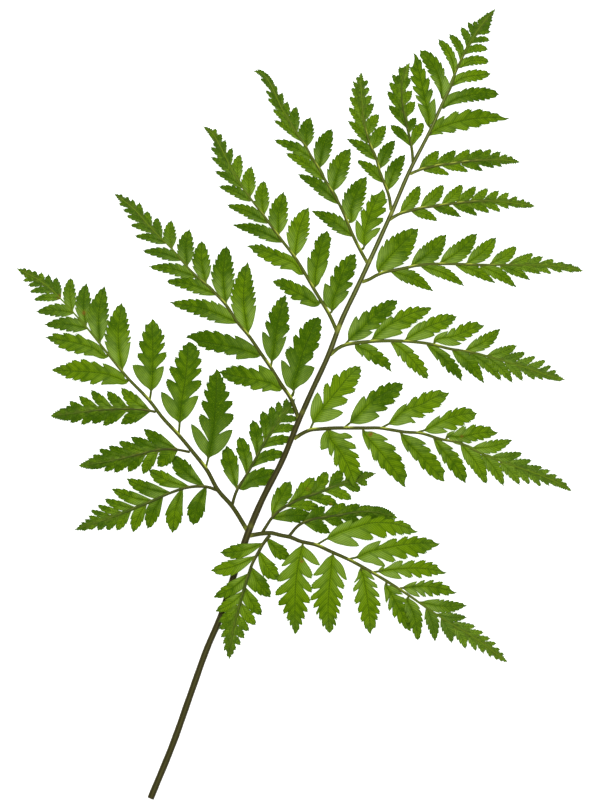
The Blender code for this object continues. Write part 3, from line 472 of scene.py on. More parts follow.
PINNAE["right_5"] = pinna(
    dict(full=1.0, cut=0.75, shade=0.05, costa=(389, 220, 399, 214, 409, 211, 421, 208, 436, 206,
         450, 204, 467, 202, 485, 201, 505, 202, 520, 204, 536, 206), width=(2.4, 1.2),
         heights=(1.1, 3.2, 0.35)),
    *plain((13, 400, 213, 420, 185), (13, 420, 208, 444, 184), (12, 441, 204, 463, 184),
           (10, 458, 202, 476, 186), (9, 472, 201, 488, 188), (8, 485, 201, 499, 190),
           (7, 497, 201, 509, 192), (5, 508, 202, 518, 196), (10, 412, 211, 438, 221),
           (10, 433, 208, 461, 217), (9, 453, 205, 478, 216), (9, 468, 203, 490, 213),
           (8, 482, 202, 501, 212), (6, 495, 203, 510, 209), (5, 507, 204, 519, 208)))
PINNAE["right_6"] = pinna(
    dict(full=1.0, cut=0.75, shade=0.05, costa=(410, 174, 419, 170, 430, 167, 440, 165, 455, 163,
         470, 161, 490, 160, 505, 160, 521, 162), width=(2.2, 1.1), heights=(1.0, 2.4, 0.35)),
    *plain((12, 419, 169, 439, 150), (11, 436, 165, 456, 150), (10, 452, 162, 470, 149),
           (9, 464, 161, 483, 149), (8, 475, 160, 492, 149), (7, 487, 160, 501, 151),
           (5, 497, 160, 508, 154), (8, 425, 169, 450, 175), (9, 442, 166, 469, 172),
           (8, 463, 163, 483, 171), (7, 475, 162, 495, 168), (6, 487, 162, 503, 167),
           (5, 498, 161, 509, 164)))
PINNAE["apex"] = pinna(
    dict(shade=-0.05, costa=(424, 143, 430, 131, 444, 100, 450, 89, 456, 71, 464, 54, 472, 39,
         480, 27, 487, 18, 496, 8), width=(2.4, 1.0), heights=(0.9, 0.8, 0.35), wing=1.0, broad=15,
         full=1.0, spread=0.45),
    leaf(23, (430, 127, 429, 117, 425, 100, 421, 80, 417, 65, 413, 53),
         (417, 103, 415, 95, 412, 86, 410, 76, 410, 67, 435, 98, 432, 88,
          429, 77, 424, 68, 420, 59), lift=1.2, stalk=2, tone=-0.7),
    leaf(15, (443, 99, 441, 85, 433, 65, 419, 49), lift=0.4),
    leaf(9.5, (454, 75, 453, 63, 448, 51, 438, 39)),
    leaf(8.5, (462, 61, 461, 52, 457, 43, 449, 34)),
    leaf(8, (468, 48, 468, 40, 465, 33, 461, 27)),
    leaf(6, (473, 39, 473, 33, 471, 27, 468, 22)),
    leaf(5.5, (477, 32, 476, 26, 474, 20)),
    *plain((5, 480, 27, 479, 18), (4.6, 483, 23, 482, 16), (4, 485, 20, 485, 14),
           (3.6, 488, 17, 487, 12)),
    leaf(20, (428, 136, 437, 129, 450, 124, 465, 120, 480, 118, 510, 117),
         (445, 115, 459, 111, 472, 109, 483, 109, 491, 112, 499, 114, 444, 134,
          457, 131, 470, 129, 482, 126, 490, 123, 498, 121), stalk=2, cut=0.6),
    leaf(14, (442, 108, 452, 101, 465, 96, 480, 94, 501, 94)),
    leaf(12, (452, 86, 460, 79, 470, 76, 480, 75, 491, 73)),
    leaf(10, (459, 68, 467, 62, 477, 60, 490, 62)),
    leaf(8.5, (465, 54, 472, 49, 480, 48, 488, 49)),
    leaf(6.5, (471, 43, 477, 40, 483, 39, 490, 40)),
    leaf(5.5, (476, 34, 482, 32, 491, 31)),
    *plain((5, 479, 29, 491, 27), (5, 482, 25, 492, 24), (4.6, 485, 21, 493, 20),
           (4, 487, 18, 493, 17), (3.6, 490, 15, 494, 14)))

# Spots on the leaves: picture x, y, radius in pixels and strength.
BLEMISHES = (
    (60, 297, 3.5, 0.9), (84, 313, 3.0, 0.7), (138, 454, 3.0, 0.35), (302, 561, 2.6, 0.8),
    (269, 558, 2.4, 0.6), (331, 504, 2.2, 0.6), (371, 434, 2.6, 1.0), (462, 436, 2.2, 0.6),
    (252, 454, 2.0, 0.5), (308, 489, 3.0, 0.35),
)
HIGHEST = 6.55 * MM           # the leaves stay inside the part's own height
# Cream flecks on the rachis where a pinna leaves it: picture x, y, reach and strength.
AXIL_FLECKS = (
    (338, 328, 4.5, 0.8), (367, 260, 4.5, 0.9), (362, 247, 3.0, 0.4), (331, 315, 3.0, 0.4),
    (314, 284, 3.0, 0.4), (248, 524, 5.0, 0.8), (300, 412, 4.0, 0.6), (252, 538, 5.0, 0.8),
    (299, 433, 5.0, 0.7), (334, 350, 4.0, 0.7), (392, 212, 3.5, 0.6), (412, 172, 3.0, 0.6),
)


def pairs(flat):
    """Turn a flat run of picture numbers into rows of x and y."""
    return np.array(flat, float).reshape(-1, 2)


def to_frond(places, heights):
    """Turn picture places and heights in metres into points of the frond's frame."""
    across = (places[:, 0] - REST_POINT[0]) * PX
    up = (REST_POINT[1] - places[:, 1]) * PX
    return np.column_stack((TURN_COS * across - TURN_SIN * up,
                            TURN_SIN * across + TURN_COS * up, heights))


def three_point(heights, share):
    """Read a smooth height between a start, a middle and an end height."""
    start, middle, end = heights
    return (start * (1 - share) * (1 - 2 * share) + middle * 4 * share * (1 - share)
            + end * share * (2 * share - 1))


def smooth(low, high, value):
    """Ease from 0 at low to 1 at high."""
    share = np.clip((value - low) / (high - low), 0.0, 1.0)
    return share * share * (3 - 2 * share)


def curve_through(points, step):
    """Sample a smooth curve through the points about every step pixels."""
    points = pairs(points)
    gaps = np.hypot(*np.diff(points, axis=0).T)
    slopes = np.diff(points, axis=0) / gaps[:, None]
    tangents = np.vstack((slopes[:1], slopes[-1:])) if len(points) == 2 else np.vstack((
        slopes[:1],
        (slopes[:-1] * gaps[1:, None] + slopes[1:] * gaps[:-1, None])
        / (gaps[1:] + gaps[:-1])[:, None],
        slopes[-1:]))
    out = []
    for i, gap in enumerate(gaps):
        t = np.linspace(0, 1, max(2, int(round(gap / step)) + 1))[:-1, None]
        out.append(points[i] * (2 * t**3 - 3 * t**2 + 1) + points[i + 1] * (3 * t**2 - 2 * t**3)
                   + tangents[i] * gap * (t**3 - 2 * t**2 + t)
                   + tangents[i + 1] * gap * (t**3 - t**2))
    out.append(points[-1:])
    return np.vstack(out)


class Route:
    """A curve in the picture, with distances along it and to its left."""

    def __init__(self, points, step=3.0):
        self.points = curve_through(points, step)
        self.ways = np.diff(self.points, axis=0)
        self.gaps = np.hypot(*self.ways.T)
        self.steps = np.concatenate(([0.0], np.cumsum(self.gaps)))
        self.length = self.steps[-1]

    def at(self, along):
        """Return the points a distance along the route and the unit ways out."""
        along = np.clip(np.atleast_1d(np.asarray(along, float)), 0.0, self.length)
        index = np.clip(np.searchsorted(self.steps, along, "right") - 1, 0, len(self.gaps) - 1)
        way = self.ways[index] / self.gaps[index, None]
        return self.points[index] + way * (along - self.steps[index])[:, None], way

    def beside(self, along, off):
        """Return points a distance along the route and off to its left."""
        point, way = self.at(along)
        return point + np.column_stack((way[:, 1], -way[:, 0])) * np.reshape(off, (-1, 1))

    def nearest(self, places):
        """Return the distances along the route and to its left of the places."""
        rel = places[:, None, :] - self.points[None, :-1, :]
        part = np.clip((rel * self.ways).sum(2) / self.gaps**2, 0.0, 1.0)
        gap = rel - part[..., None] * self.ways
        away = np.hypot(gap[..., 0], gap[..., 1])
        best = away.argmin(1)
        row = np.arange(len(places))
        hand = gap[row, best, 0] * self.ways[best, 1] - gap[row, best, 1] * self.ways[best, 0]
        along = self.steps[best] + part[row, best] * self.gaps[best]
        return along, away[row, best] * np.where(hand > 0, 1.0, -1.0)


class Costa:
    """The costa of one pinna, and the height of the leaves beside it."""

    def __init__(self, spec):
        self.route = Route(spec["costa"])
        self.widths = spec["width"]
        self.heights = [h * MM for h in spec.get("heights", (0, 0, 0))]
        self.roll = spec.get("roll", 0.0)
        self.shade = spec.get("shade", 0.0)
        self.finger = "wing" in spec and not spec.get("broad")
        self.broad_below = spec.get("broad", BROAD_BELOW)
        self.free = spec.get("free", 1)
        self.full = spec.get("full", 1.05)
        self.cut = spec.get("cut", 1.0)
        self.spread = spec.get("spread", 0.0)
        self.field = self

    def half_width(self, along):
        """Return the costa's half width at a distance along it, pixels."""
        share = along / self.route.length
        width = self.widths[0] + (self.widths[1] - self.widths[0]) * share
        return width / 2 * (COSTA_SWELL - COSTA_THINNING * smooth(0.45, 0.90, share))

    def height(self, places):
        """Return the height of the leaf plate's middle at picture places."""
        along, off = self.route.nearest(places)
        centre = three_point(self.heights, along / self.route.length) + self.roll * off * PX
        lift = np.maximum(LEAST_LIFT, 1.0 - (off / DROOP_REACH) ** 2)
        return np.maximum(PLATE / 2, PLATE / 2 + (centre - PLATE / 2) * lift)


def distance_to_lines(places, lines):
    """Return each place's distance to the nearest of some runs of points."""
    starts = np.vstack([line[:-1] for line in lines])
    ways = np.vstack([np.diff(line, axis=0) for line in lines])
    best = np.full(len(places), np.inf)
    sizes = np.maximum((ways**2).sum(1), 1e-12)
    for first in range(0, len(places), PLACES_AT_ONCE):
        part_of = slice(first, first + PLACES_AT_ONCE)
        rel = places[part_of, None, :] - starts[None]
        part = np.clip((rel * ways).sum(2) / sizes, 0.0, 1.0)
        gap = rel - part[..., None] * ways
        best[part_of] = np.sqrt((gap**2).sum(2).min(1))
    return best


def is_inside(places, outline):
    """Tell which places an outline winds round."""
    a = outline[None]
    b = np.roll(outline, -1, axis=0)[None]
    p = places[:, None, :]
    turn = ((b - a)[..., 0] * (p - a)[..., 1] - (b - a)[..., 1] * (p - a)[..., 0])
    up = (a[..., 1] <= p[..., 1]) & (b[..., 1] > p[..., 1]) & (turn > 0)
    down = (a[..., 1] > p[..., 1]) & (b[..., 1] <= p[..., 1]) & (turn < 0)
    return (up.sum(1) - down.sum(1)) != 0


def bowed_edge(start, end, outward, bulge, lean):
    """Return the function that places a point on an edge that bulges outward."""
    chord = end - start
    size = np.hypot(*chord)
    normal = np.array((-chord[1], chord[0])) / max(size, 1e-6)
    if normal @ outward < 0:
        normal = -normal
    rise_power, fall_power = lean
    peak = rise_power / (rise_power + fall_power)
    top = peak ** rise_power * (1 - peak) ** fall_power

    def place(t, rise=0.0):
        swell = bulge * size * t ** rise_power * (1 - t) ** fall_power / top
        return start + chord * t + normal * (swell + rise)

    return place, size


def toothed_edge(start, end, outward, bulge, teeth, tooth, lean=(1.0, 0.6)):
    """Run from start to end in a curve that bulges outward, toothed toward its end."""
    place, size = bowed_edge(start, end, outward, bulge, lean)
    first = 0.0 if size < 9 else 0.42
    straight = int(first * size / 2.4)
    points = [place(first * k / (straight + 1)) for k in range(1, straight + 1)]
    for k in range(teeth):
        wide = (1 - first) / teeth
        low = first + wide * k
        rise = tooth * (0.35 + 0.65 * low)
        if k or first:
            points.append(place(low))
        points.append(place(low + 0.45 * wide, 0.55 * rise))
        points.append(place(low + 0.88 * wide, rise if k < teeth - 1 else 0.4 * rise))
    return points


class Blade:
    """One leaflet's outline and veins, flat in the picture."""

    def __init__(self, spec, costa, rng):
        self.spec = spec
        axis = pairs(spec["axis"])
        foot = costa.route.at(costa.route.nearest(axis[:1])[0])[0]
        if np.hypot(*(foot[0] - axis[0])) > 1.2:
            axis = np.vstack((foot, axis)) if len(axis) > 2 else np.vstack((foot, axis[1:]))
        self.base = axis[0]
        chord = axis[-1] - axis[0]
        length = np.hypot(*chord)
        along = costa.route.nearest(axis[:1])[0]
        self.costa, self.foot = costa, float(along[0])
        out = costa.route.at(along)[1][0]
        ahead = np.array((-chord[1], chord[0])) / length
        if ahead @ out < 0:
            ahead = -ahead
        if len(axis) == 2:
            middle = (axis[0] + axis[1]) / 2 + ahead * LEAFLET_BOW * length
            axis = np.vstack((axis[0], middle, axis[1]))
        self.route = Route(axis, 2.0)
        self.length = self.route.length
        self.width = spec["width"] * (1.0 if spec["tips"] else costa.full)
        self.broad = self.length < costa.broad_below and "stalk" not in spec
        self.ahead_hand = 1.0 if self.is_left(ahead) else -1.0
        off = costa.route.nearest(axis[-1:])[1][0]
        self.tipward = off * out[0] > 0
        self.stalk = spec.get("stalk", 1.5 if self.tipward and not self.broad else 0.0)
        self.finger = costa.finger
        self.peak, self.taper = (0.42, 2.3) if self.tipward else (0.33, 2.1)
        if costa.finger:
            self.peak, self.taper = 0.48, 2.3
        if costa.spread:
            self.peak, self.taper = 0.50, 3.4
        self.joined, self.gap = False, 0.0
        self.tone = spec.get("tone", rng.uniform(-1, 1))
        self.lobe_tones = None
        self.roll = rng.uniform(-0.03, 0.03)
        self.rng = rng

    def is_left(self, ahead):
        """Tell whether the side toward the pinna's tip is to the left of the way out."""
        way = self.route.at(self.length / 2)[1][0]
        return ahead @ np.array((way[1], -way[0])) > 0

    def fullness(self, share):
        """Return the half width of a plain leaflet at a share of its length."""
        if share < self.peak:
            low = share / self.peak
            return 0.30 * low + 0.70 * (1 - (1 - low) ** 1.9)
        return 1.0 - ((share - self.peak) / (1 - self.peak)) ** self.taper

    def on_side(self, places, hand):
        """Return the places of one side as sorted distances along and across."""
        if not len(places):
            return []
        along, off = self.route.nearest(pairs(places))
        return sorted((a, abs(o)) for a, o in zip(along, off) if o * hand > 0)

    def lobe_tips(self, hand):
        """Return the lobe tips of one side as distances along and across."""
        own = self.on_side(self.spec["tips"], hand)
        if own:
            return own
        count = 2 if self.length < 11 else 3 if self.length < 19 or self.finger else \
            int(round(3.0 + self.length / 18))
        ahead = hand == self.ahead_hand
        first = self.peak + (0.02 if ahead else -0.02) - (0.0 if self.length > 19 else 0.04)
        first -= 0.12 if self.costa.spread else 0.0
        if self.finger:
            first += 0.14
        last = 0.93 if self.length > 19 else 0.86
        lean = 0.03 if ahead else -0.03
        lobes = []
        for i in range(count):
            share = first + (last - first) * (i / max(1, count - 1)) ** 0.92
            share += self.rng.uniform(-0.012, 0.012)
            off = self.width / 2 * self.fullness(share) * (1.04 + lean)
            lobes.append((share * self.length, max(off * self.rng.uniform(0.96, 1.04), 0.45)))
        return lobes

    def notch(self, index, along, off, given, ahead):
        """Return the notch beyond a lobe as distances along and across."""
        if index < len(given):
            return given[index]
        cut = self.spec.get("cut", self.costa.cut)
        if self.spec["tips"]:
            depth = (0.62, 0.46, 0.40, 0.36)[min(index, 3)] * cut * off
            back = (0.60, 0.42, 0.33, 0.25)[min(index, 3)] * depth
        else:
            depth = (0.19 if ahead or self.finger else 0.25) * cut * off
            back = 0.30 * depth
        if index:
            depth *= 1 - 0.5 * float(smooth(0.7, 0.98, along / self.length))
        return along - min(back, 0.5 * along), off - min(max(depth, 0.5), 0.7 * off)

    def first_edge(self, start_along, root, along, off, hand, tooth):
        """Run from the leaflet's narrow base out to its first lobe tip."""
        reach = along - start_along
        size = math.hypot(reach, off)
        round_part = 0.70 if self.spec["tips"] else 0.42
        if not self.tipward:
            round_part = 0.55 if hand == self.ahead_hand else 0.20
        if self.finger:
            round_part = 0.15
        elif self.broad:
            round_part = 0.30
        count = max(3, int(size / EDGE_STEP))
        points = []
        for k in range(1, count):
            t = k / count
            rise = t * (1 - round_part) + round_part * (1 - (1 - t) ** 2.3)
            rise *= float(smooth(-0.12, 0.24, t))
            bite = tooth * 0.5 * (k % 2) * max(0.0, t - 0.70)
            bite *= 1.0 if self.length > 30 and not self.finger else 0.0
            points.append(self.route.beside(start_along + reach * (0.15 * t * t + 0.85 * t),
                                            hand * (root + (off - root) * rise + bite))[0])
        return points

    def joined_edge(self, along, off, hand):
        """Run from the costa out to the first lobe tip of a leaflet that runs down it."""
        ahead = hand == self.ahead_hand
        shift = max(self.gap - JOIN_CLEAR, 0.5 * self.gap)
        if self.costa.spread:
            shift = self.costa.spread * self.gap
        shift = shift if ahead else JOIN_BACK
        limit = self.costa.route.length - 2.0
        start = self.costa.route.at(min(max(self.foot + shift, 0.0), limit))[0][0]
        tip = self.route.beside(along, hand * off)[0]
        outward = tip - self.route.at(along)[0][0]
        bulge, lean = (0.04, (0.8, 1.0)) if ahead else (0.02, (1.5, 0.9))
        if self.costa.spread:
            bulge = 0.09 if ahead else -0.03
        place, size = bowed_edge(start, tip, outward, bulge, lean)
        count = max(3, int(size / EDGE_STEP))
        return [start] + [place(k / count) for k in range(1, count)]

    def side(self, hand, tooth):
        """Return one side of the outline from the base to the tip."""
        lobes = self.lobe_tips(hand)
        given = self.on_side(self.spec.get("notches", ()), hand)
        root = STALK_HALF if self.stalk > 3 else 1.1
        if self.broad:
            root = (0.13 if self.tipward else 0.24) * self.width + 0.5
        start = self.route.beside(0.0, hand * root)[0]
        if self.broad:
            start = start - self.route.at(0.0)[1][0] * 1.2
        if self.joined:
            points = self.joined_edge(*lobes[0], hand)
        else:
            points = [start]
            if self.stalk > 1:
                points.append(self.route.beside(self.stalk, hand * root)[0])
            points += self.first_edge(max(self.stalk, 0.0), root, *lobes[0], hand, tooth)
        for i, (along, off) in enumerate(lobes):
            tip = self.route.beside(along, hand * off)[0]
            if i:
                outward = tip - self.route.at(along)[0][0]
                size = np.hypot(*(tip - start))
                deep = size > 14
                points += toothed_edge(start, tip, outward, 0.09 if deep else 0.07,
                                       max(1, int(round(size / 4.6))), tooth,
                                       (1.6, 0.7) if deep else (1.0, 0.7))
            if off > 7.5 and self.spec["tips"]:
                points.append(self.route.beside(along - 2.6, hand * (off + 0.15))[0])
                points.append(self.route.beside(along - 1.5, hand * (off - 0.55))[0])
            points.append(tip)
            back, inner = self.notch(i, along, off, given, hand == self.ahead_hand)
            start = self.route.beside(back, hand * inner)[0]
            self.notches.append((back, hand * inner))
            size = np.hypot(*(tip - start))
            if size > 2.4:
                points += toothed_edge(start, tip, self.route.at(along)[1][0],
                                       0.08 if size > 8 else 0.03,
                                       max(1, int(round(size / 4.5))), tooth * 0.6,
                                       (1.2, 0.8))[::-1]
            points.append(start)
        end = self.route.points[-1]
        size = np.hypot(*(end - start))
        points += toothed_edge(start, end, start - self.route.at(self.length)[0][0],
                               0.12, 1 if size < 6 else 2, tooth * 0.4, (1.0, 0.8))
        self.tips += [(a, hand * o) for a, o in lobes]
        return points

    def forward_line(self, along, off, first, last):
        """Run forward from the midrib to a lobe tip or a notch, from one share to another."""
        low = along - FORWARD * abs(off)
        foot = max(low, self.stalk + 0.03 * self.length)
        foot = min(foot, along - 0.25 * abs(off))
        steps = max(2, int(math.hypot(along - foot, off) / 2.2))
        t = np.linspace(first, last, steps + 1)
        run = foot + (along - foot) * (0.82 * t + 0.18 * t**2)
        return self.route.beside(run, off * t)

    def draw(self, tooth):
        """Work out the outline and the veins."""
        self.tips, self.notches = [], []
        left = self.side(1.0, tooth)
        right = self.side(-1.0, tooth)
        self.outline = np.array(left + [self.route.points[-1]] + right[::-1])
        start = self.stalk + 0.03 * self.length
        ends = np.linspace(max(0.0, start), self.length * 0.985, max(3, int(self.length / 2)))
        self.midrib = self.route.at(ends)[0]
        self.side_veins = [self.forward_line(*tip, 0.0, 0.93) for tip in self.tips]
        self.creases = [self.forward_line(*notch, 0.22, 0.97) for notch in self.notches]
        self.lobe_tones = np.array([self.rng.uniform(-1, 1) for _ in self.side_veins])
        return self


def join_leaflets(blades, costa):
    """Let the outer leaflets of a narrow pinna run down its costa, side by side."""
    for tipward in (True, False):
        row = sorted((b for b in blades if b.tipward == tipward), key=lambda b: b.foot)
        for k, blade in enumerate(row):
            blade.gap = row[k + 1].foot - blade.foot if k + 1 < len(row) else \
                TIP_SHRINK * row[k - 1].gap
            if (costa.finger or costa.spread) and k >= costa.free:
                blade.joined = blade.broad = True
                blade.stalk = 0.0


def wing_outline(costa, start, half, rng):
    """Return the narrow blade that runs along the costa and ends in a toothed tip."""
    route = costa.route
    end = route.length
    sides = {1.0: [], -1.0: []}
    for hand, points in sides.items():
        along = start + (1.2 if hand > 0 else 0.0)
        while along < end - 0.5:
            to_tip = end - along
            swell = smooth(3.2 * TIP_BLADE, 0.5 * TIP_BLADE, to_tip)
            point = 1 - (1 - min(1.0, to_tip / (0.85 * TIP_BLADE))) ** 1.6
            settle = smooth(0.0, 12.0, along - start)
            wide = max(0.12, (half + (1.3 + 0.5 * half) * swell) * point * (0.3 + 0.7 * settle))
            points.append(route.beside(along, hand * wide)[0])
            step = 3.4 - 1.2 * swell
            if swell > 0.2 and to_tip > 4.0:
                bite = (0.75 + rng.uniform(0.0, 0.35)) * swell * min(1.0, to_tip / 9)
                points.append(route.beside(along + 0.75 * step, hand * (wide + bite))[0])
            along += step
        points.append(route.beside(end, hand * 0.08)[0])
    return np.array(sides[1.0] + sides[-1.0][::-1])


def tip_leaflets(costa, blades, rng, tooth):
    """Go on with ever smaller leaflets, on both sides, up to the pinna's tip."""
    added = []
    for tipward in (True, False):
        row = [(costa.route.nearest(b.base[None])[0][0], b) for b in blades
               if b.tipward == tipward and b.broad]
        row.sort(key=lambda item: item[0])
        if len(row) < 2:
            continue
        along, last = row[-1]
        gap = max(along - row[-2][0], 3.2)
        reach = last.route.points[-1] - last.base
        width = last.width
        while True:
            gap, width, reach = gap * TIP_SHRINK, width * TIP_SHRINK, reach * TIP_SHORTEN
            along += gap
            if along > costa.route.length - TIP_CLEAR:
                break
            base = costa.route.at(along)[0][0]
            far, off = costa.route.nearest((base + reach)[None])
            most = 0.9 + 0.5 * max(0.0, costa.route.length - float(far[0]))
            reach = reach * min(1.0, most / abs(float(off[0])))
            if np.hypot(*reach) < LEAST_TIP_LEAFLET:
                break
            spec = leaf(max(width, 3.4), (*base, *(base + reach)))
            blade = Blade(spec, costa, rng)
            blade.joined = costa.finger or costa.spread > 0
            blade.gap = gap * TIP_SHRINK
            added.append(blade.draw(tooth))
    return added


def hex_points(low, high, step, rng):
    """Return a slightly shaken honeycomb of points that covers a box."""
    xs = np.arange(low[0], high[0] + step, step)
    ys = np.arange(low[1], high[1] + step, step * 0.866)
    grid = np.array([(x + (row % 2) * step / 2, y) for row, y in enumerate(ys) for x in xs])
    shake = np.array([rng.uniform(-0.12, 0.12) for _ in range(grid.size)]).reshape(-1, 2)
    return grid + shake * step


def thin_run(points, least):
    """Drop the points of a run that come closer than a least gap."""
    kept = [points[0]]
    for point in points[1:]:
        if np.hypot(*(point - kept[-1])) >= least:
            kept.append(point)
    return kept


def fill_outlines(outlines, lines, step, rng):
    """Triangulate some overlapping outlines as one sheet whose veins are its edges."""
    points, edges = [], []
    for outline in outlines:
        ring = thin_run(list(outline), LEAST_POINT_GAP)
        first = len(points)
        points += ring
        edges += [(first + i, first + (i + 1) % len(ring)) for i in range(len(ring))]
    for line in lines:
        first = len(points)
        points += list(line)
        edges += [(first + i, first + i + 1) for i in range(len(line) - 1)]
    stack = np.array(points)
    grid = hex_points(stack.min(0), stack.max(0), step, rng)
    inside = np.zeros(len(grid), bool)
    for outline in outlines:
        inside |= is_inside(grid, outline)
    grid = grid[inside]
    if len(grid):
        rings = [np.vstack((o, o[:1])) for o in outlines]
        clear = distance_to_lines(grid, rings + [np.asarray(line) for line in lines])
        grid = grid[clear > 0.5 * step]
    every = [Vector(p) for p in stack] + [Vector(p) for p in grid]
    flat, _, tris, *_ = delaunay_2d_cdt(every, edges, [], 0, MERGE_GAP)
    flat = np.array([(p.x, p.y) for p in flat])
    tris = np.array([tuple(t) for t in tris])
    corners = flat[tris]
    middles = corners.mean(1)
    keep = np.zeros(len(tris), bool)
    for outline in outlines:
        keep |= is_inside(middles, outline)
    side_a = corners[:, 1] - corners[:, 0]
    side_b = corners[:, 2] - corners[:, 0]
    turn = side_a[:, 0] * side_b[:, 1] - side_a[:, 1] * side_b[:, 0]
    keep &= np.abs(turn) > 1e-5
    tris = np.where((turn > 0)[:, None], tris[:, ::-1], tris)[keep]
    used = np.unique(tris)
    index = np.full(len(flat), -1)
    index[used] = np.arange(len(used))
    return flat[used], index[tris]


class Sheet:
    """The points, faces and measures of a piece while it is put together."""

    def __init__(self):
        self.points, self.faces, self.measures, self.count = [], [], [], 0

    def add(self, points, faces, measures):
        """Add a part, with three colours' worth of measures for each point."""
        self.points.append(points)
        self.faces += [tuple(int(i) + self.count for i in face) for face in faces]
        self.measures.append(measures)
        self.count += len(points)


def blade_part(blades, extra, costa, form, rng):
    """Make the sheet of one leaflet, or of the small ones that run together."""
    outlines = [blade.outline for blade in blades] + extra
    lines = []
    for blade in blades:
        lines.append(blade.midrib)
        if blade.length > 30:
            ends = np.linspace(blade.stalk + 0.06 * blade.length, blade.length * 0.86,
                               max(3, int(blade.length / 3)))
            lines += [blade.route.beside(ends, 0.62), blade.route.beside(ends, -0.62)]
        if blade.length > 16:
            lines += blade.creases + (blade.side_veins if blade.length > 30 else [])
    if extra:
        first = min(costa.route.nearest(b.outline[:1])[0][0] for b in blades)
        ends = np.linspace(first, costa.route.length * 0.99,
                           max(3, int((costa.route.length - first) / 2.5)))
        lines.append(costa.route.at(ends)[0])
    small = max(blade.length for blade in blades) < 34
    flat, faces = fill_outlines(outlines, lines, form.grain * (0.8 if small else 1.0), rng)
    count = len(flat)
    owner = np.zeros(count, int)
    best = np.full(count, np.inf)
    alongs, offs = np.zeros(count), np.zeros(count)
    for k, blade in enumerate(blades):
        along, off = blade.route.nearest(flat)
        reach = np.abs(off) / blade.width + np.where(is_inside(flat, blade.outline), 0, 1.0)
        better = reach < best
        best[better], owner[better] = reach[better], k
        alongs[better], offs[better] = along[better], off[better]
    height = costa.field.height(flat)
    to_edge = distance_to_lines(flat, [np.vstack((o, o[:1])) for o in outlines])
    measures = np.zeros((count, MEASURES))
    for k, blade in enumerate(blades):
        own = owner == k
        if not own.any():
            continue
        along, off = alongs[own], offs[own]
        share = along / blade.length
        half = blade.width / 2
        across = np.minimum(np.abs(off) / half, 1.3)
        size = min(1.0, blade.length / 45)
        rib = distance_to_lines(flat[own], [blade.midrib])
        gaps = np.array([distance_to_lines(flat[own], [line]) for line in blade.side_veins])
        side = gaps.min(0)
        valley = distance_to_lines(flat[own], blade.creases) \
            + (0.0 if blade.spec["tips"] else 0.45)
        weights = np.exp(-(gaps - side) / 1.2)
        lobe = (weights * blade.lobe_tones[:, None]).sum(0) / weights.sum(0)
        lift = blade.spec.get("lift", 0.0) * MM * smooth(0.05, 0.5, share)
        fold = (form.fold + 0.03 * blade.tone) * np.abs(off) * PX * (1 - 0.45 * across)
        curl = -form.curl * MM * size * smooth(0.55, 1.0, share) ** 1.5
        ripple = np.sin(along * 0.33 + blade.tone * 5 + np.sign(off) * 0.8)
        wave = 0.10 * MM * size * ripple * across
        dome = form.quilt * MM * (0.35 + 0.65 * size) * (
            smooth(0.0, 2.0, to_edge[own]) * (1 - 0.3 * np.exp(-side**2))
            - 1.5 * np.exp(-(valley / 1.3) ** 2))
        groove = -form.groove * MM * np.exp(-(rib / 0.6) ** 2)
        height[own] += lift + fold + curl + wave + dome + groove + blade.roll * off * PX
        faint = 0.75 * (1 - min(1.0, blade.length / 40))
        measures[own, RIB] = np.minimum((rib + faint) / VEIN_REACH, 1.0)
        # Painted sheen: a pale reflection painted on the basal lobes, more on leaflets that face
        # the pinna's tip, and paleness of the outer leaflets.
        basal = smooth(0.62, 0.20, share) * smooth(0.06, 0.4, across)
        facing = 1.0 if blade.tipward else 0.55
        facing *= 0.65 if blade.spec["tips"] and costa.shade < 0 else 1.0
        measures[own, TONE] = 0.5 + 0.42 * blade.tone + costa.shade + 0.30 * lobe * across
        measures[own, SHEEN_AND_PALE] = basal * facing * min(1.0, blade.length / 55) \
            + (0.12 + 1.3 * max(0.0, costa.shade)) \
            * float(smooth(0.50, 0.85, blade.foot / costa.route.length))
        measures[own, TIP] = smooth(0.72, 1.0, share)
        measures[own, PHASE] = along - FORWARD * np.abs(off) + 40
        measures[own, VALLEY] = np.minimum(valley / VEIN_REACH, 1.0)
        measures[own, OWN_STALK] = np.where(along < blade.stalk, 1.0, 0.0) \
            + smooth(4.5, 0.0, np.maximum(along - blade.stalk, 0)) * (along >= blade.stalk) * 0.55
    soft = 0.7 + 0.9 * min(1.0, max(blade.length for blade in blades) / 40)
    for x, y, radius, strength in BLEMISHES:
        gap = np.hypot(flat[:, 0] - x, flat[:, 1] - y)
        spot = strength * smooth(radius, radius * 0.3, gap)
        measures[:, SPOT] = np.maximum(measures[:, SPOT], spot)
    measures[:, EDGE] = np.clip(to_edge / soft, 0, 1)
    floor = form.thickness * (0.6 + 0.4 * np.clip(to_edge / 1.6, 0, 1))
    top = height + form.thickness / 2
    top = floor + np.logaddexp(0, (top - floor) / (0.12 * MM)) * 0.12 * MM
    return to_frond(flat, np.minimum(top, HIGHEST)), faces, measures


def tube_part(route, halves, heights, sides, groove=0.0):
    """Make a tube along picture places, with an open groove pressed in its top."""
    ways = np.gradient(route, axis=0)
    ways /= np.hypot(*ways.T)[:, None]
    left = np.column_stack((ways[:, 1], -ways[:, 0]))
    points, round_share = [], []
    for k in range(sides):
        angle = 2 * math.pi * k / sides
        sunk = 1 - groove * max(0.0, math.cos(angle)) ** 6
        side, up = math.sin(angle), math.cos(angle) * sunk
        points.append(to_frond(route + left * (side * halves)[:, None],
                               heights + up * halves * PX))
        round_share.append((side, up))
    points = np.stack(points, 1)
    rings = len(route)
    faces = []
    for r in range(rings - 1):
        for k in range(sides):
            n = (k + 1) % sides
            a, b = r * sides + k, r * sides + n
            faces.append((a, b, b + sides, a + sides))
    faces.append(tuple(range(sides))[::-1])
    faces.append(tuple((rings - 1) * sides + k for k in range(sides)))
    shares = np.tile(np.array(round_share), (rings, 1))
    return points.reshape(-1, 3), faces, shares


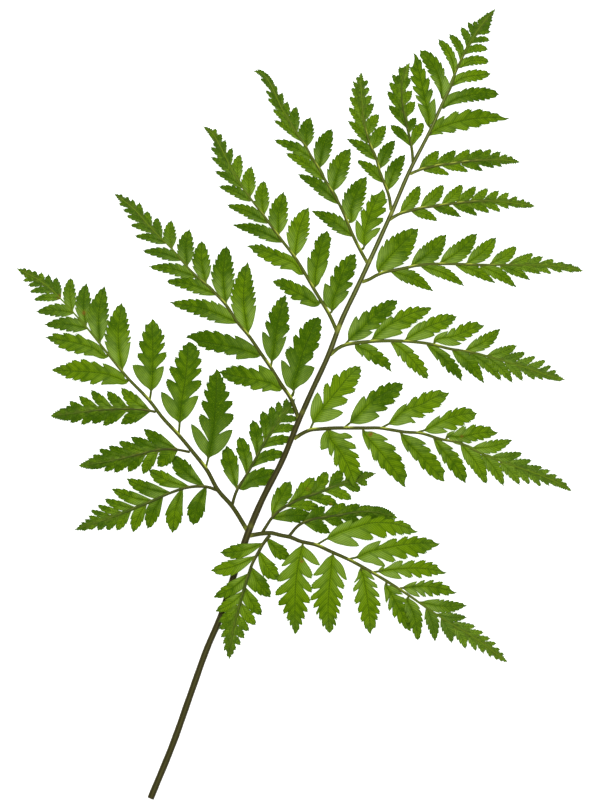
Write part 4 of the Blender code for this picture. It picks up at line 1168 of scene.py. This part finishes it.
def costa_part(costa, blades, sides=10):
    """Make a pinna's costa, raised a little above its leaves."""
    count = max(6, int(costa.route.length / 3.0))
    alongs = np.linspace(0, costa.route.length * 0.995, count)
    places = costa.route.at(alongs)[0]
    halves = costa.half_width(alongs) * (1 - 0.45 * smooth(0.9, 1.0, alongs / costa.route.length))
    heights = costa.field.height(places) + 0.15 * MM * smooth(0.3, 0.7, alongs / alongs[-1])
    points, faces, shares = tube_part(places, halves, heights, sides, groove=0.22)
    measures = np.zeros((len(points), MEASURES))
    measures[:, AROUND] = shares[:, 0] * 0.5 + 0.5
    measures[:, ALONG] = np.repeat(alongs / costa.route.length, sides)
    for blade in blades:
        if blade.tipward and blade.length > 14:
            off = costa.route.nearest(blade.route.at(6.0)[0])[1]
            base = costa.route.nearest(blade.base[None])[0][0]
            beyond = np.repeat(alongs, sides) - base
            reach = min(10.0, 0.55 * blade.gap)
            fleck = smooth(reach, 0.4 * reach, beyond) * smooth(-1.5, 0.5, beyond)
            fleck = fleck * smooth(0.0, 0.5, shares[:, 0] * np.sign(off[0]))
            fleck = fleck * (0.2 if costa.finger else float(smooth(
                0.70, 0.45, base / costa.route.length)))
            measures[:, FLECK] = np.maximum(measures[:, FLECK], fleck)
    measures[:, START] = smooth(7.0, 1.0, np.repeat(alongs, sides))
    measures[:, DEEP] = 1.0 if costa.finger else 0.0
    low = float(smooth(370.0, 440.0, places[0][1]))
    measures[:, BROWN] = np.repeat(low * smooth(0.60, 0.12, alongs / costa.route.length), sides)
    return points, faces, measures


def petiolule_part(blade, costa, sides=6):
    """Make a leaflet's own stalk, which runs on as the rib below its blade."""
    reach = blade.length * (0.62 if blade.length > 20 else 0.4)
    count = max(4, int(reach / 3.2))
    alongs = np.linspace(0, reach, count)
    places = blade.route.at(alongs)[0]
    full = 1.30 if blade.length > 50 else 1.0 if blade.length > 26 else 0.5
    beyond = smooth(blade.stalk, blade.stalk + 7, alongs)
    halves = full * (1 - 0.35 * beyond) * (1 - 0.6 * alongs / reach * beyond)
    heights = costa.field.height(places)
    heights += blade.spec.get("lift", 0.0) * MM * smooth(0.05, 0.5, alongs / blade.length)
    heights -= halves * PX * (0.15 + 0.75 * beyond)
    heights = np.maximum(heights, halves * PX)
    points, faces, shares = tube_part(places, halves, heights, sides)
    measures = np.zeros((len(points), MEASURES))
    measures[:, AROUND] = shares[:, 0] * 0.5 + 0.5
    measures[:, ALONG] = 0.5
    measures[:, FLECK] = np.repeat(smooth(3.0, 0.5, alongs), sides) * 0.15
    measures[:, SLIM] = np.repeat(smooth(0.0, 12.0, alongs - blade.stalk), sides)
    measures[:, DEEP] = 0.5
    return points, faces, measures


class Value:
    """A socket in a shader tree that sums can be written on."""

    def __init__(self, finish, socket):
        self.finish, self.socket = finish, socket

    def math(self, operation, *others):
        """Add a Math node on this value."""
        return self.finish.node("ShaderNodeMath", dict(operation=operation), (self, *others))

    def __add__(self, other):
        return self.math("ADD", other)

    def __radd__(self, other):
        return self.math("ADD", other)

    def __sub__(self, other):
        return self.math("SUBTRACT", other)

    def __rsub__(self, other):
        return self.finish.node("ShaderNodeMath", dict(operation="SUBTRACT"), (other, self))

    def __mul__(self, other):
        return self.math("MULTIPLY", other)

    def __rmul__(self, other):
        return self.math("MULTIPLY", other)

    def __truediv__(self, other):
        return self.math("DIVIDE", other)

    def eased(self, low, high):
        """Ease from 0 at low to 1 at high."""
        return self.finish.node("ShaderNodeMapRange", dict(interpolation_type="SMOOTHSTEP"),
                                {"Value": self, "From Min": low, "From Max": high})


class Finish:
    """A material under construction."""

    def __init__(self, name):
        self.material = bpy.data.materials.new(name)
        self.material.use_nodes = True
        self.tree = self.material.node_tree
        self.shader = self.tree.nodes["Principled BSDF"]

    def node(self, kind, settings, values=(), output=0):
        """Add a node, its settings first, and the values or links of its sockets."""
        node = self.tree.nodes.new(kind)
        for key, value in settings.items():
            setattr(node, key, value)
        items = values.items() if isinstance(values, dict) else enumerate(values)
        for key, value in items:
            self.feed(node.inputs[key], value)
        return Value(self, node.outputs[output])

    def feed(self, socket, value):
        """Link a value to a socket, or set the number or colour on it."""
        if isinstance(value, Value):
            self.tree.links.new(value.socket, socket)
        else:
            socket.default_value = value

    def measures(self, name):
        """Read three measures that the mesh carries."""
        vector = self.node("ShaderNodeAttribute", dict(attribute_name=name), output=1)
        split = self.tree.nodes.new("ShaderNodeSeparateXYZ")
        self.feed(split.inputs[0], vector)
        return [Value(self, socket) for socket in split.outputs]

    def place(self):
        """Read the place on the frond in metres."""
        return self.node("ShaderNodeTexCoord", {}, output=3)

    def noise(self, place, scale, detail=3.0, rough=0.55):
        """Add soft random patches; scale is patches to the metre."""
        return self.node("ShaderNodeTexNoise", {}, {
            "Vector": place, "Scale": scale, "Detail": detail, "Roughness": rough})

    def mix(self, factor, first, second):
        """Mix two colours."""
        node = self.tree.nodes.new("ShaderNodeMix")
        node.data_type = "RGBA"
        node.clamp_factor = True
        self.feed(node.inputs[0], factor)
        self.feed(node.inputs[6], first if isinstance(first, Value) else (*first, 1.0))
        self.feed(node.inputs[7], second if isinstance(second, Value) else (*second, 1.0))
        return Value(self, node.outputs[2])

    def bump(self, height, strength, depth):
        """Feed a fine relief to the shader."""
        normal = self.node("ShaderNodeBump", {}, {
            "Height": height, "Strength": strength, "Distance": depth})
        self.feed(self.shader.inputs["Normal"], normal)

    def set(self, **values):
        """Set sockets of the shader by name, with underscores for spaces."""
        for key, value in values.items():
            self.feed(self.shader.inputs[key.replace("_", " ")], value)
        return self


def veinlets(phase, spacing):
    """Draw fine side veins that sweep forward from the midrib."""
    place = (phase / spacing).math("FRACT")
    return 1.0 - (place - 0.5).math("ABSOLUTE").eased(0.0, 0.30)


def upper_finish(tint):
    """Make the leathery green of the leaf's upper side."""
    leaf = Finish("leaf upper side")
    rib, edge, spot = leaf.measures("form")
    tone, sheen_and_pale, tip = leaf.measures("tint")
    phase, beside, stalk = leaf.measures("run")
    place = leaf.place()
    broad = leaf.noise(place, 34, 2.0)
    patch = leaf.noise(place, 190, 3.0)
    grain = leaf.noise(place, 1500, 3.0, 0.65)
    lines = veinlets(phase + patch * 2.4, 2.7)
    shaded_crease = 1.0 - beside.eased(0.04, 0.40)
    # Painted light: the middles of the lobes, away from the creases, are made lighter as where
    # light falls on them.
    painted_lobe_light = beside.eased(0.15, 1.0)
    rib = 1.0 - rib.eased(0.08, 0.30)
    colour = leaf.mix((broad - 0.5) * 1.9 + tone * 0.8 + (patch - 0.5) * 1.9
                      + painted_lobe_light * 0.35 - 0.06, tint.leaf_dark, tint.leaf_green)
    # Painted sheen: a pale highlight painted on the basal lobes; the outer leaflets of a pinna are
    # made paler with it too.
    colour = leaf.mix(sheen_and_pale * (0.38 + patch * 0.72), colour, tint.sheen_and_pale_green)
    colour = leaf.mix(tip * (0.15 + 0.45 * tone), colour, tint.leaf_tip)
    colour = leaf.mix(lines * (0.18 + 0.95 * grain), colour, tint.leaf_dark)
    colour = leaf.mix((1.0 - lines) * grain.eased(0.45, 0.8) * 0.55, colour, tint.leaf_light)
    # Painted shade: the creases between the lobes are darkened as where shade falls between them.
    colour = leaf.mix(shaded_crease * (0.15 + 0.50 * broad), colour, tint.leaf_dark)
    colour = leaf.mix((1.0 - edge.eased(0.0, 0.75)) * 0.42, colour, tint.vein)
    colour = leaf.mix(rib * (0.25 + 0.50 * broad), colour, tint.vein)
    vein = shaded_crease * 0.5 + rib
    colour = leaf.mix(stalk * 0.75, colour, tint.costa)
    colour = leaf.mix(spot * (0.5 + grain), colour, tint.blemish)
    leaf.bump(grain * 0.35 + patch * 0.6 - lines * 0.30 - vein * 0.35, 0.45, 0.00022)
    leaf.set(Base_Color=colour, Roughness=0.36 + patch * 0.16 + spot * 0.2,
             Coat_Weight=sheen_and_pale * 0.03, Coat_Roughness=0.35, Specular_IOR_Level=0.03)
    return leaf.material


def under_finish(tint):
    """Make the paler, duller green of the underside."""
    leaf = Finish("leaf underside")
    rib, _, spot = leaf.measures("form")
    tone = leaf.measures("tint")[0]
    phase = leaf.measures("run")[0]
    vein = 1.0 - rib.eased(0.08, 0.35)
    place = leaf.place()
    patch = leaf.noise(place, 210, 3.0)
    grain = leaf.noise(place, 1700, 3.0, 0.65)
    lines = veinlets(phase, 2.3)
    colour = leaf.mix(patch * 0.7 + tone * 0.3, tint.under_dark, tint.under_green)
    colour = leaf.mix(vein * 0.55 + lines * 0.14, colour, tint.costa_highlight_and_vein)
    colour = leaf.mix(spot * (0.4 + grain * 0.8), colour, tint.blemish)
    leaf.bump(grain * 0.5 + lines * 0.3 + vein * 0.5, 0.4, 0.00022)
    leaf.set(Base_Color=colour, Roughness=0.55 + patch * 0.14, Specular_IOR_Level=0.35)
    return leaf.material


def costa_finish(tint):
    """Make the olive of the costae and the leaflets' own stalks."""
    stalk = Finish("costa")
    around, along, axil = stalk.measures("form")
    first, slim, deep = stalk.measures("tint")
    brown = stalk.measures("run")[0]
    place = stalk.place()
    patch = stalk.noise(place, 120, 3.0)
    grain = stalk.noise(place, 1300, 3.0, 0.6)
    # Painted light and shade: the costa is lighter along its top and darker on its sides, as a lit
    # tube would be.
    ridge = 1.0 - ((around - 0.46).math("ABSOLUTE") * 2.0).eased(0.10, 0.75)
    colour = stalk.mix(ridge * (0.45 + patch * 0.6), tint.costa_shaded_side, tint.costa)
    colour = stalk.mix(along.eased(0.50, 0.90) * 0.70, colour, tint.leaf_green)
    # Painted highlight along the costa's top.
    colour = stalk.mix(ridge * grain.eased(0.45, 0.75) * 0.25, colour, tint.costa_highlight_and_vein)
    colour = stalk.mix(deep * along.eased(0.05, 0.35) * 0.50, colour, tint.vein)
    colour = stalk.mix(slim * 0.75, colour, tint.vein)
    colour = stalk.mix(brown * 0.60, colour, tint.stipe_dark)
    colour = stalk.mix(axil * (0.65 + patch * 0.5), colour, tint.axil)
    colour = stalk.mix(first * (1.0 - deep) * 0.25, colour, tint.axil)
    stalk.bump(grain * 0.5 + patch * 0.5, 0.35, 0.0002)
    stalk.set(Base_Color=colour, Roughness=0.40 + patch * 0.18, Specular_IOR_Level=0.12)
    return stalk.material


def rachis_finish(tint):
    """Make the stipe's dark olive brown, which turns to grooved olive higher up."""
    stalk = Finish("stipe and rachis")
    around, along, axil = stalk.measures("form")
    place = stalk.place()
    patch = stalk.noise(place, 90, 3.0)
    stretched = stalk.node("ShaderNodeMapping", {}, {
        "Vector": place, "Scale": (1.0, 0.10, 1.0)})
    streak = stalk.noise(stretched, 900, 3.0)
    grain = stalk.noise(place, 1400, 3.0, 0.6)
    side = (around - 0.5) * 2.0
    # Painted light and shade: the middle of the top is made lighter and the flanks darker, as
    # where light falls on a round stalk.
    groove = 1.0 - (side + 0.04).math("ABSOLUTE").eased(0.05, 0.42)
    rim = 1.0 - (side.math("ABSOLUTE") - 0.55).math("ABSOLUTE").eased(0.05, 0.28)
    upper = along.eased(0.44, 0.70)
    body = stalk.mix(upper, tint.stipe_dark, tint.rachis_dark)
    light = stalk.mix(upper, tint.stipe_highlight_and_streak, tint.rachis_highlight_and_streak)
    colour = stalk.mix(groove * (0.35 + 0.45 * upper) * (0.5 + streak), body, light)
    colour = stalk.mix(rim * (0.30 + patch * 0.3) * (1.0 - upper * 0.4), colour,
                       tint.stipe_dark)
    # Painted highlight down one side of the stalk.
    colour = stalk.mix(side.eased(0.72, 1.0) * 0.55, colour, light)
    colour = stalk.mix(streak.eased(0.55, 0.8) * 0.35, colour, light)
    colour = stalk.mix(along.eased(0.80, 1.0) * 0.5, colour, tint.leaf_green)
    colour = stalk.mix(axil * (0.3 + patch * 0.5), colour, tint.axil)
    stalk.bump(streak * 0.6 + grain * 0.4 - groove * 0.3, 0.4, 0.00025)
    stalk.set(Base_Color=colour, Roughness=0.38 + patch * 0.2, Specular_IOR_Level=0.12)
    return stalk.material


def floor_finish(studio):
    """Make the plain pale floor that the frond lies on."""
    floor = Finish("studio floor")
    cloud = floor.noise(floor.place(), 3.0, 2.0)
    colour = floor.mix(cloud, tuple(0.985 * c for c in studio.floor_colour), studio.floor_colour)
    floor.set(Base_Color=colour, Roughness=0.85, Specular_IOR_Level=0.1,
              Emission_Color=(1.0, 1.0, 1.0, 1.0), Emission_Strength=studio.floor_glow)
    return floor.material


def kept_material(make, values):
    """Return a finish that is already made, or make it."""
    name = {upper_finish: "leaf upper side", under_finish: "leaf underside",
            costa_finish: "costa", rachis_finish: "stipe and rachis",
            floor_finish: "studio floor"}[make]
    return bpy.data.materials.get(name) or make(values)


def select_only(piece):
    """Make a piece the only selected and active one."""
    bpy.ops.object.select_all(action="DESELECT")
    piece.select_set(True)
    bpy.context.view_layer.objects.active = piece


def store_measures(mesh, measures):
    """Keep the measures of each point where the finishes read them."""
    for k, name in enumerate(("form", "tint", "run")):
        layer = mesh.attributes.new(name, "FLOAT_VECTOR", "POINT")
        layer.data.foreach_set("vector", measures[:, 3 * k:3 * k + 3].astype("f").ravel())


def make_piece(name, sheet, materials):
    """Turn a finished sheet of points into a piece of the frond."""
    mesh = bpy.data.meshes.new(name)
    mesh.from_pydata(np.vstack(sheet.points).tolist(), [], sheet.faces)
    store_measures(mesh, np.vstack(sheet.measures))
    for material in materials:
        mesh.materials.append(material)
    piece = bpy.data.objects.new(name, mesh)
    bpy.context.scene.collection.objects.link(piece)
    select_only(piece)
    return piece


def attach(piece):
    """Let a piece stand for the frond's own solid."""
    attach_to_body(piece, "root")
    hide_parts(NODE)


def thicken(piece, form):
    """Give the leaf sheet its thickness, thinner toward the edges."""
    group = piece.vertex_groups.new(name="full")
    edge = np.zeros(len(piece.data.vertices) * 3, "f")
    piece.data.attributes["form"].data.foreach_get("vector", edge)
    for i, share in enumerate(edge.reshape(-1, 3)[:, EDGE]):
        group.add([i], 0.6 + 0.4 * float(share), "REPLACE")
    solid = piece.modifiers.new("thickness", "SOLIDIFY")
    solid.thickness = form.thickness
    solid.offset = -1.0
    solid.vertex_group = group.name
    solid.material_offset = 1
    bpy.ops.object.modifier_apply(modifier=solid.name)
    bpy.ops.object.shade_smooth_by_angle(angle=LEAF_SMOOTH_ANGLE)


def build_pinna(name, context):
    """Build one pinna's leaf blades and its costa."""
    form, tint = context.scene.frond_form, context.scene.frond_tint
    spec = PINNAE[name]
    rng = random.Random("frond " + name)
    costa = Costa(spec)
    if "field" in spec:
        costa.field = Costa(PINNAE[spec["field"]])
    blades = [Blade(item, costa, rng) for item in spec["leaflets"]]
    join_leaflets(blades, costa)
    for blade in blades:
        blade.draw(form.tooth)
    blades += tip_leaflets(costa, blades, rng, form.tooth)
    broad = [blade for blade in blades if blade.broad]
    single = [blade for blade in blades if not blade.broad]
    leaves, stems = Sheet(), Sheet()
    for blade in single:
        leaves.add(*blade_part([blade], [], costa, form, rng))
    if broad:
        start = min(costa.route.nearest(b.outline[:1])[0][0] for b in broad)
        wing = wing_outline(costa, max(0.0, start - 2), spec.get("wing", 1.4), rng)
        leaves.add(*blade_part(broad, [wing], costa, form, rng))
    piece = make_piece("leaves_" + name, leaves, [kept_material(upper_finish, tint),
                                                  kept_material(under_finish, tint)])
    thicken(piece, form)
    attach(piece)
    stems.add(*costa_part(costa, blades))
    for blade in blades:
        stems.add(*petiolule_part(blade, costa))
    stem = make_piece("costa_" + name, stems, [kept_material(costa_finish, tint)])
    bpy.ops.object.shade_smooth_by_angle(angle=STALK_SMOOTH_ANGLE)
    attach(stem)


class FrondForm(bpy.types.PropertyGroup):
    """Sizes that shape the leaves."""

    thickness: FloatProperty(name="Leaf thickness", default=0.00045, unit="LENGTH",
                             description="Thickness of a blade beside its midrib")
    groove: FloatProperty(name="Midrib groove", default=0.20,
                          description="Depth of the groove over the midrib, millimetres")
    quilt: FloatProperty(name="Quilting", default=0.20,
                         description="Rise of the leaf between its side veins, millimetres")
    fold: FloatProperty(name="Fold", default=0.10,
                        description="Slope of each half of a blade up from the midrib")
    curl: FloatProperty(name="Tip curl", default=0.5,
                        description="How far a blade's tip bends down, millimetres")
    tooth: FloatProperty(name="Tooth", default=0.85,
                         description="Height of the fine teeth, picture pixels")
    grain: FloatProperty(name="Mesh grain", default=2.1,
                         description="Gap between the points inside a blade, picture pixels")
    rachis_sides: IntProperty(name="Rachis sides", default=20,
                              description="Number of sides of the stipe and rachis")


def colour_property(name, value, description):
    """Write down a colour that a user may change."""
    return FloatVectorProperty(name=name, default=value, description=description,
                               subtype="COLOR", size=3, min=0.0, max=1.0)


class FrondTint(bpy.types.PropertyGroup):
    """Colours of the leaves and stalks."""

    leaf_green: colour_property("Leaf green", (0.158, 0.285, 0.002), "The leaf's main green")
    # Deep green: the leaf's own darker patches and fine veins, and the painted shade in the
    # creases between the lobes.
    leaf_dark: colour_property("Deep green", (0.044, 0.112, 0.0004), "Shaded parts of a leaf")
    # Pale green: the painted sheen on the basal lobes, which also pales the outer leaflets.
    sheen_and_pale_green: colour_property("Pale green", (0.285, 0.435, 0.075), "Sheen on the basal lobes")
    leaf_light: colour_property("Light green", (0.300, 0.450, 0.010), "Fine lights in a leaf")
    leaf_tip: colour_property("Tip green", (0.120, 0.225, 0.024), "Greyer green of the tips")
    under_green: colour_property("Underside", (0.150, 0.280, 0.060), "The underside's green")
    under_dark: colour_property("Underside shade", (0.090, 0.190, 0.030), "Its darker patches")
    vein: colour_property("Vein", (0.030, 0.075, 0.002), "Midribs and side veins")
    costa: colour_property("Costa", (0.122, 0.158, 0.020), "Olive of the costae")
    # Costa edge: painted shade on the costa's sides.
    costa_shaded_side: colour_property("Costa edge", (0.064, 0.084, 0.005), "The costa's dark edges")
    # Costa light: painted highlight on the costa's top, and the veins of the leaf's underside.
    costa_highlight_and_vein: colour_property("Costa light", (0.170, 0.210, 0.028), "The costa's light ridge")
    # Rachis light: painted light on the top and one side of the rachis, and its paler streaks.
    rachis_highlight_and_streak: colour_property("Rachis light", (0.235, 0.270, 0.070), "Rachis middle")
    rachis_dark: colour_property("Rachis dark", (0.072, 0.088, 0.012), "Rachis edges")
    # Stipe light: painted highlight on the top and one side of the stipe, and its paler streaks.
    stipe_highlight_and_streak: colour_property("Stipe light", (0.135, 0.130, 0.034), "Stipe highlight")
    stipe_dark: colour_property("Stipe dark", (0.040, 0.035, 0.006), "Stipe body")
    axil: colour_property("Axil", (0.600, 0.700, 0.080), "Cream flecks where leaflets join")
    blemish: colour_property("Blemish", (0.230, 0.090, 0.015), "Brown spots")


class FrondStudio(bpy.types.PropertyGroup):
    """The floor, the light and the camera."""

    floor_colour: colour_property("Floor", (0.90, 0.90, 0.90), "Colour of the floor")
    floor_glow: FloatProperty(name="Floor glow", default=0.85,
                              description="Light that the lit floor gives off")
    dome: FloatProperty(name="Dome light", default=0.46, description="Light from all round")
    key: FloatProperty(name="Key light", default=30.0, unit="POWER",
                       description="Power of the large soft lamp")
    camera_rise: FloatProperty(name="Camera height", default=2.4, unit="LENGTH",
                               description="Height of the camera over the frond")


class FROND_OT_rachis(bpy.types.Operator):
    """Build the stipe and rachis from the cut end to the tip."""

    bl_idname = "frond.rachis"
    bl_label = "Add stipe and rachis"

    def execute(self, context):
        tint = context.scene.frond_tint
        sides = context.scene.frond_form.rachis_sides
        table = np.array(RACHIS)
        route = Route(table[:, :2].ravel(), 4.0)
        stations = route.nearest(table[:, :2])[0]
        alongs = np.linspace(0, route.length, int(route.length / 4))
        places = route.at(alongs)[0]
        halves = np.interp(alongs, stations, table[:, 2] / 2)
        halves *= 1 + 0.02 * np.sin(alongs * 0.21) + 0.012 * np.sin(alongs * 0.67)
        points, faces, shares = tube_part(places, halves, halves * PX, sides, groove=0.16)
        flat = np.repeat(places, sides, axis=0)
        measures = np.zeros((len(points), MEASURES))
        measures[:, AROUND] = shares[:, 0] * 0.5 + 0.5
        measures[:, ALONG] = np.repeat(alongs / route.length, sides)
        for x, y, radius, strength in AXIL_FLECKS:
            away = np.hypot(flat[:, 0] - x, flat[:, 1] - y)
            fleck = strength * smooth(radius, 0.5, away)
            measures[:, FLECK] = np.maximum(measures[:, FLECK], fleck)
        sheet = Sheet()
        sheet.add(points, faces, measures)
        piece = make_piece("stipe_and_rachis", sheet, [kept_material(rachis_finish, tint)])
        bevel = piece.modifiers.new("cut edge", "BEVEL")
        bevel.width = 0.0002
        bevel.segments = 2
        bevel.limit_method = "ANGLE"
        bevel.angle_limit = STALK_SMOOTH_ANGLE
        bpy.ops.object.modifier_apply(modifier=bevel.name)
        bpy.ops.object.shade_smooth_by_angle(angle=STALK_SMOOTH_ANGLE)
        attach(piece)
        return {"FINISHED"}


class FROND_OT_left(bpy.types.Operator):
    """Build the pinnae on the rachis's left."""

    bl_idname = "frond.left_pinnae"
    bl_label = "Add left pinnae"

    def execute(self, context):
        for name in PINNAE:
            if name.startswith("left"):
                build_pinna(name, context)
        return {"FINISHED"}


class FROND_OT_right(bpy.types.Operator):
    """Build the pinnae on the rachis's right."""

    bl_idname = "frond.right_pinnae"
    bl_label = "Add right pinnae"

    def execute(self, context):
        for name in PINNAE:
            if name.startswith("right"):
                build_pinna(name, context)
        return {"FINISHED"}


class FROND_OT_apex(bpy.types.Operator):
    """Build the leaflets at the frond's tip."""

    bl_idname = "frond.apex"
    bl_label = "Add frond tip"

    def execute(self, context):
        build_pinna("apex", context)
        return {"FINISHED"}


class FROND_OT_studio(bpy.types.Operator):
    """Set out the floor, the lamps and the camera over the frond."""

    bl_idname = "frond.studio"
    bl_label = "Add studio"

    def execute(self, context):
        studio = context.scene.frond_studio
        bpy.ops.object.select_all(action="DESELECT")
        bpy.ops.mesh.primitive_plane_add(size=8.0, location=(0, 0, 0))
        floor = context.object
        floor.name = "studio_floor"
        bpy.ops.object.mode_set(mode="EDIT")
        bpy.ops.mesh.subdivide(number_cuts=7)
        bpy.ops.object.mode_set(mode="OBJECT")
        for vertex in floor.data.vertices:
            vertex.co.z = -0.0001
        floor.data.materials.append(kept_material(floor_finish, studio))
        middle = to_frond(pairs(PICTURE_MIDDLE), np.zeros(1))[0]
        turn = math.atan2(TURN_SIN, TURN_COS)
        for name, place, size, power in (
                ("key", (-0.9, 1.1, 1.9), 1.6, studio.key),
                ("fill", (1.3, -0.6, 1.5), 1.8, studio.key * 0.35)):
            lamp = bpy.data.objects.new(name, bpy.data.lights.new(name, "AREA"))
            lamp.data.energy = power
            lamp.data.size = size
            lamp.location = place
            lamp.rotation_euler = (Vector((*middle[:2], 0)) - Vector(place)).to_track_quat(
                "-Z", "Y").to_euler()
            context.scene.collection.objects.link(lamp)
        world = bpy.data.worlds.new("soft dome")
        world.use_nodes = True
        dome = world.node_tree.nodes["Background"]
        dome.inputs["Color"].default_value = (1.0, 1.0, 1.0, 1.0)
        dome.inputs["Strength"].default_value = studio.dome
        context.scene.world = world
        camera = bpy.data.objects.new("camera", bpy.data.cameras.new("camera"))
        camera.data.sensor_fit = "VERTICAL"
        camera.data.sensor_height = 36.0
        focus = 2.0 * MM
        camera.data.lens = 36.0 * (studio.camera_rise - focus) / (PICTURE_HEIGHT * PX)
        camera.location = (middle[0], middle[1], studio.camera_rise)
        camera.rotation_euler = (0.0, 0.0, turn)
        context.scene.collection.objects.link(camera)
        context.scene.camera = camera
        context.scene.view_settings.view_transform = "Standard"
        return {"FINISHED"}


class FROND_PT_panel(bpy.types.Panel):
    """The frond's steps and sizes in the sidebar."""

    bl_idname = "FROND_PT_panel"
    bl_label = "Fern Frond"
    bl_space_type = "VIEW_3D"
    bl_region_type = "UI"
    bl_category = "Fern Frond"

    def draw(self, context):
        for group in ("frond_form", "frond_tint", "frond_studio"):
            box = self.layout.box()
            values = getattr(context.scene, group)
            for key in values.__annotations__:
                box.prop(values, key)
        for operator in OPERATORS:
            self.layout.operator(operator.bl_idname)


OPERATORS = (FROND_OT_rachis, FROND_OT_left, FROND_OT_right, FROND_OT_apex, FROND_OT_studio)
GROUPS = {"frond_form": FrondForm, "frond_tint": FrondTint, "frond_studio": FrondStudio}


def register():
    """Register the classes and keep the settings on the scene."""
    for item in (*GROUPS.values(), *OPERATORS, FROND_PT_panel):
        bpy.utils.register_class(item)
    for name, group in GROUPS.items():
        setattr(bpy.types.Scene, name, PointerProperty(type=group))


def unregister():
    """Take the settings and classes away again."""
    for name in GROUPS:
        delattr(bpy.types.Scene, name)
    for item in reversed((*GROUPS.values(), *OPERATORS, FROND_PT_panel)):
        bpy.utils.unregister_class(item)


def main():
    """Build the frond and its studio."""
    register()
    bpy.ops.object.select_all(action="DESELECT")
    bpy.ops.frond.rachis()
    bpy.ops.frond.left_pinnae()
    bpy.ops.frond.right_pinnae()
    bpy.ops.frond.apex()
    bpy.ops.frond.studio()


if __name__ == "__main__":
    main()
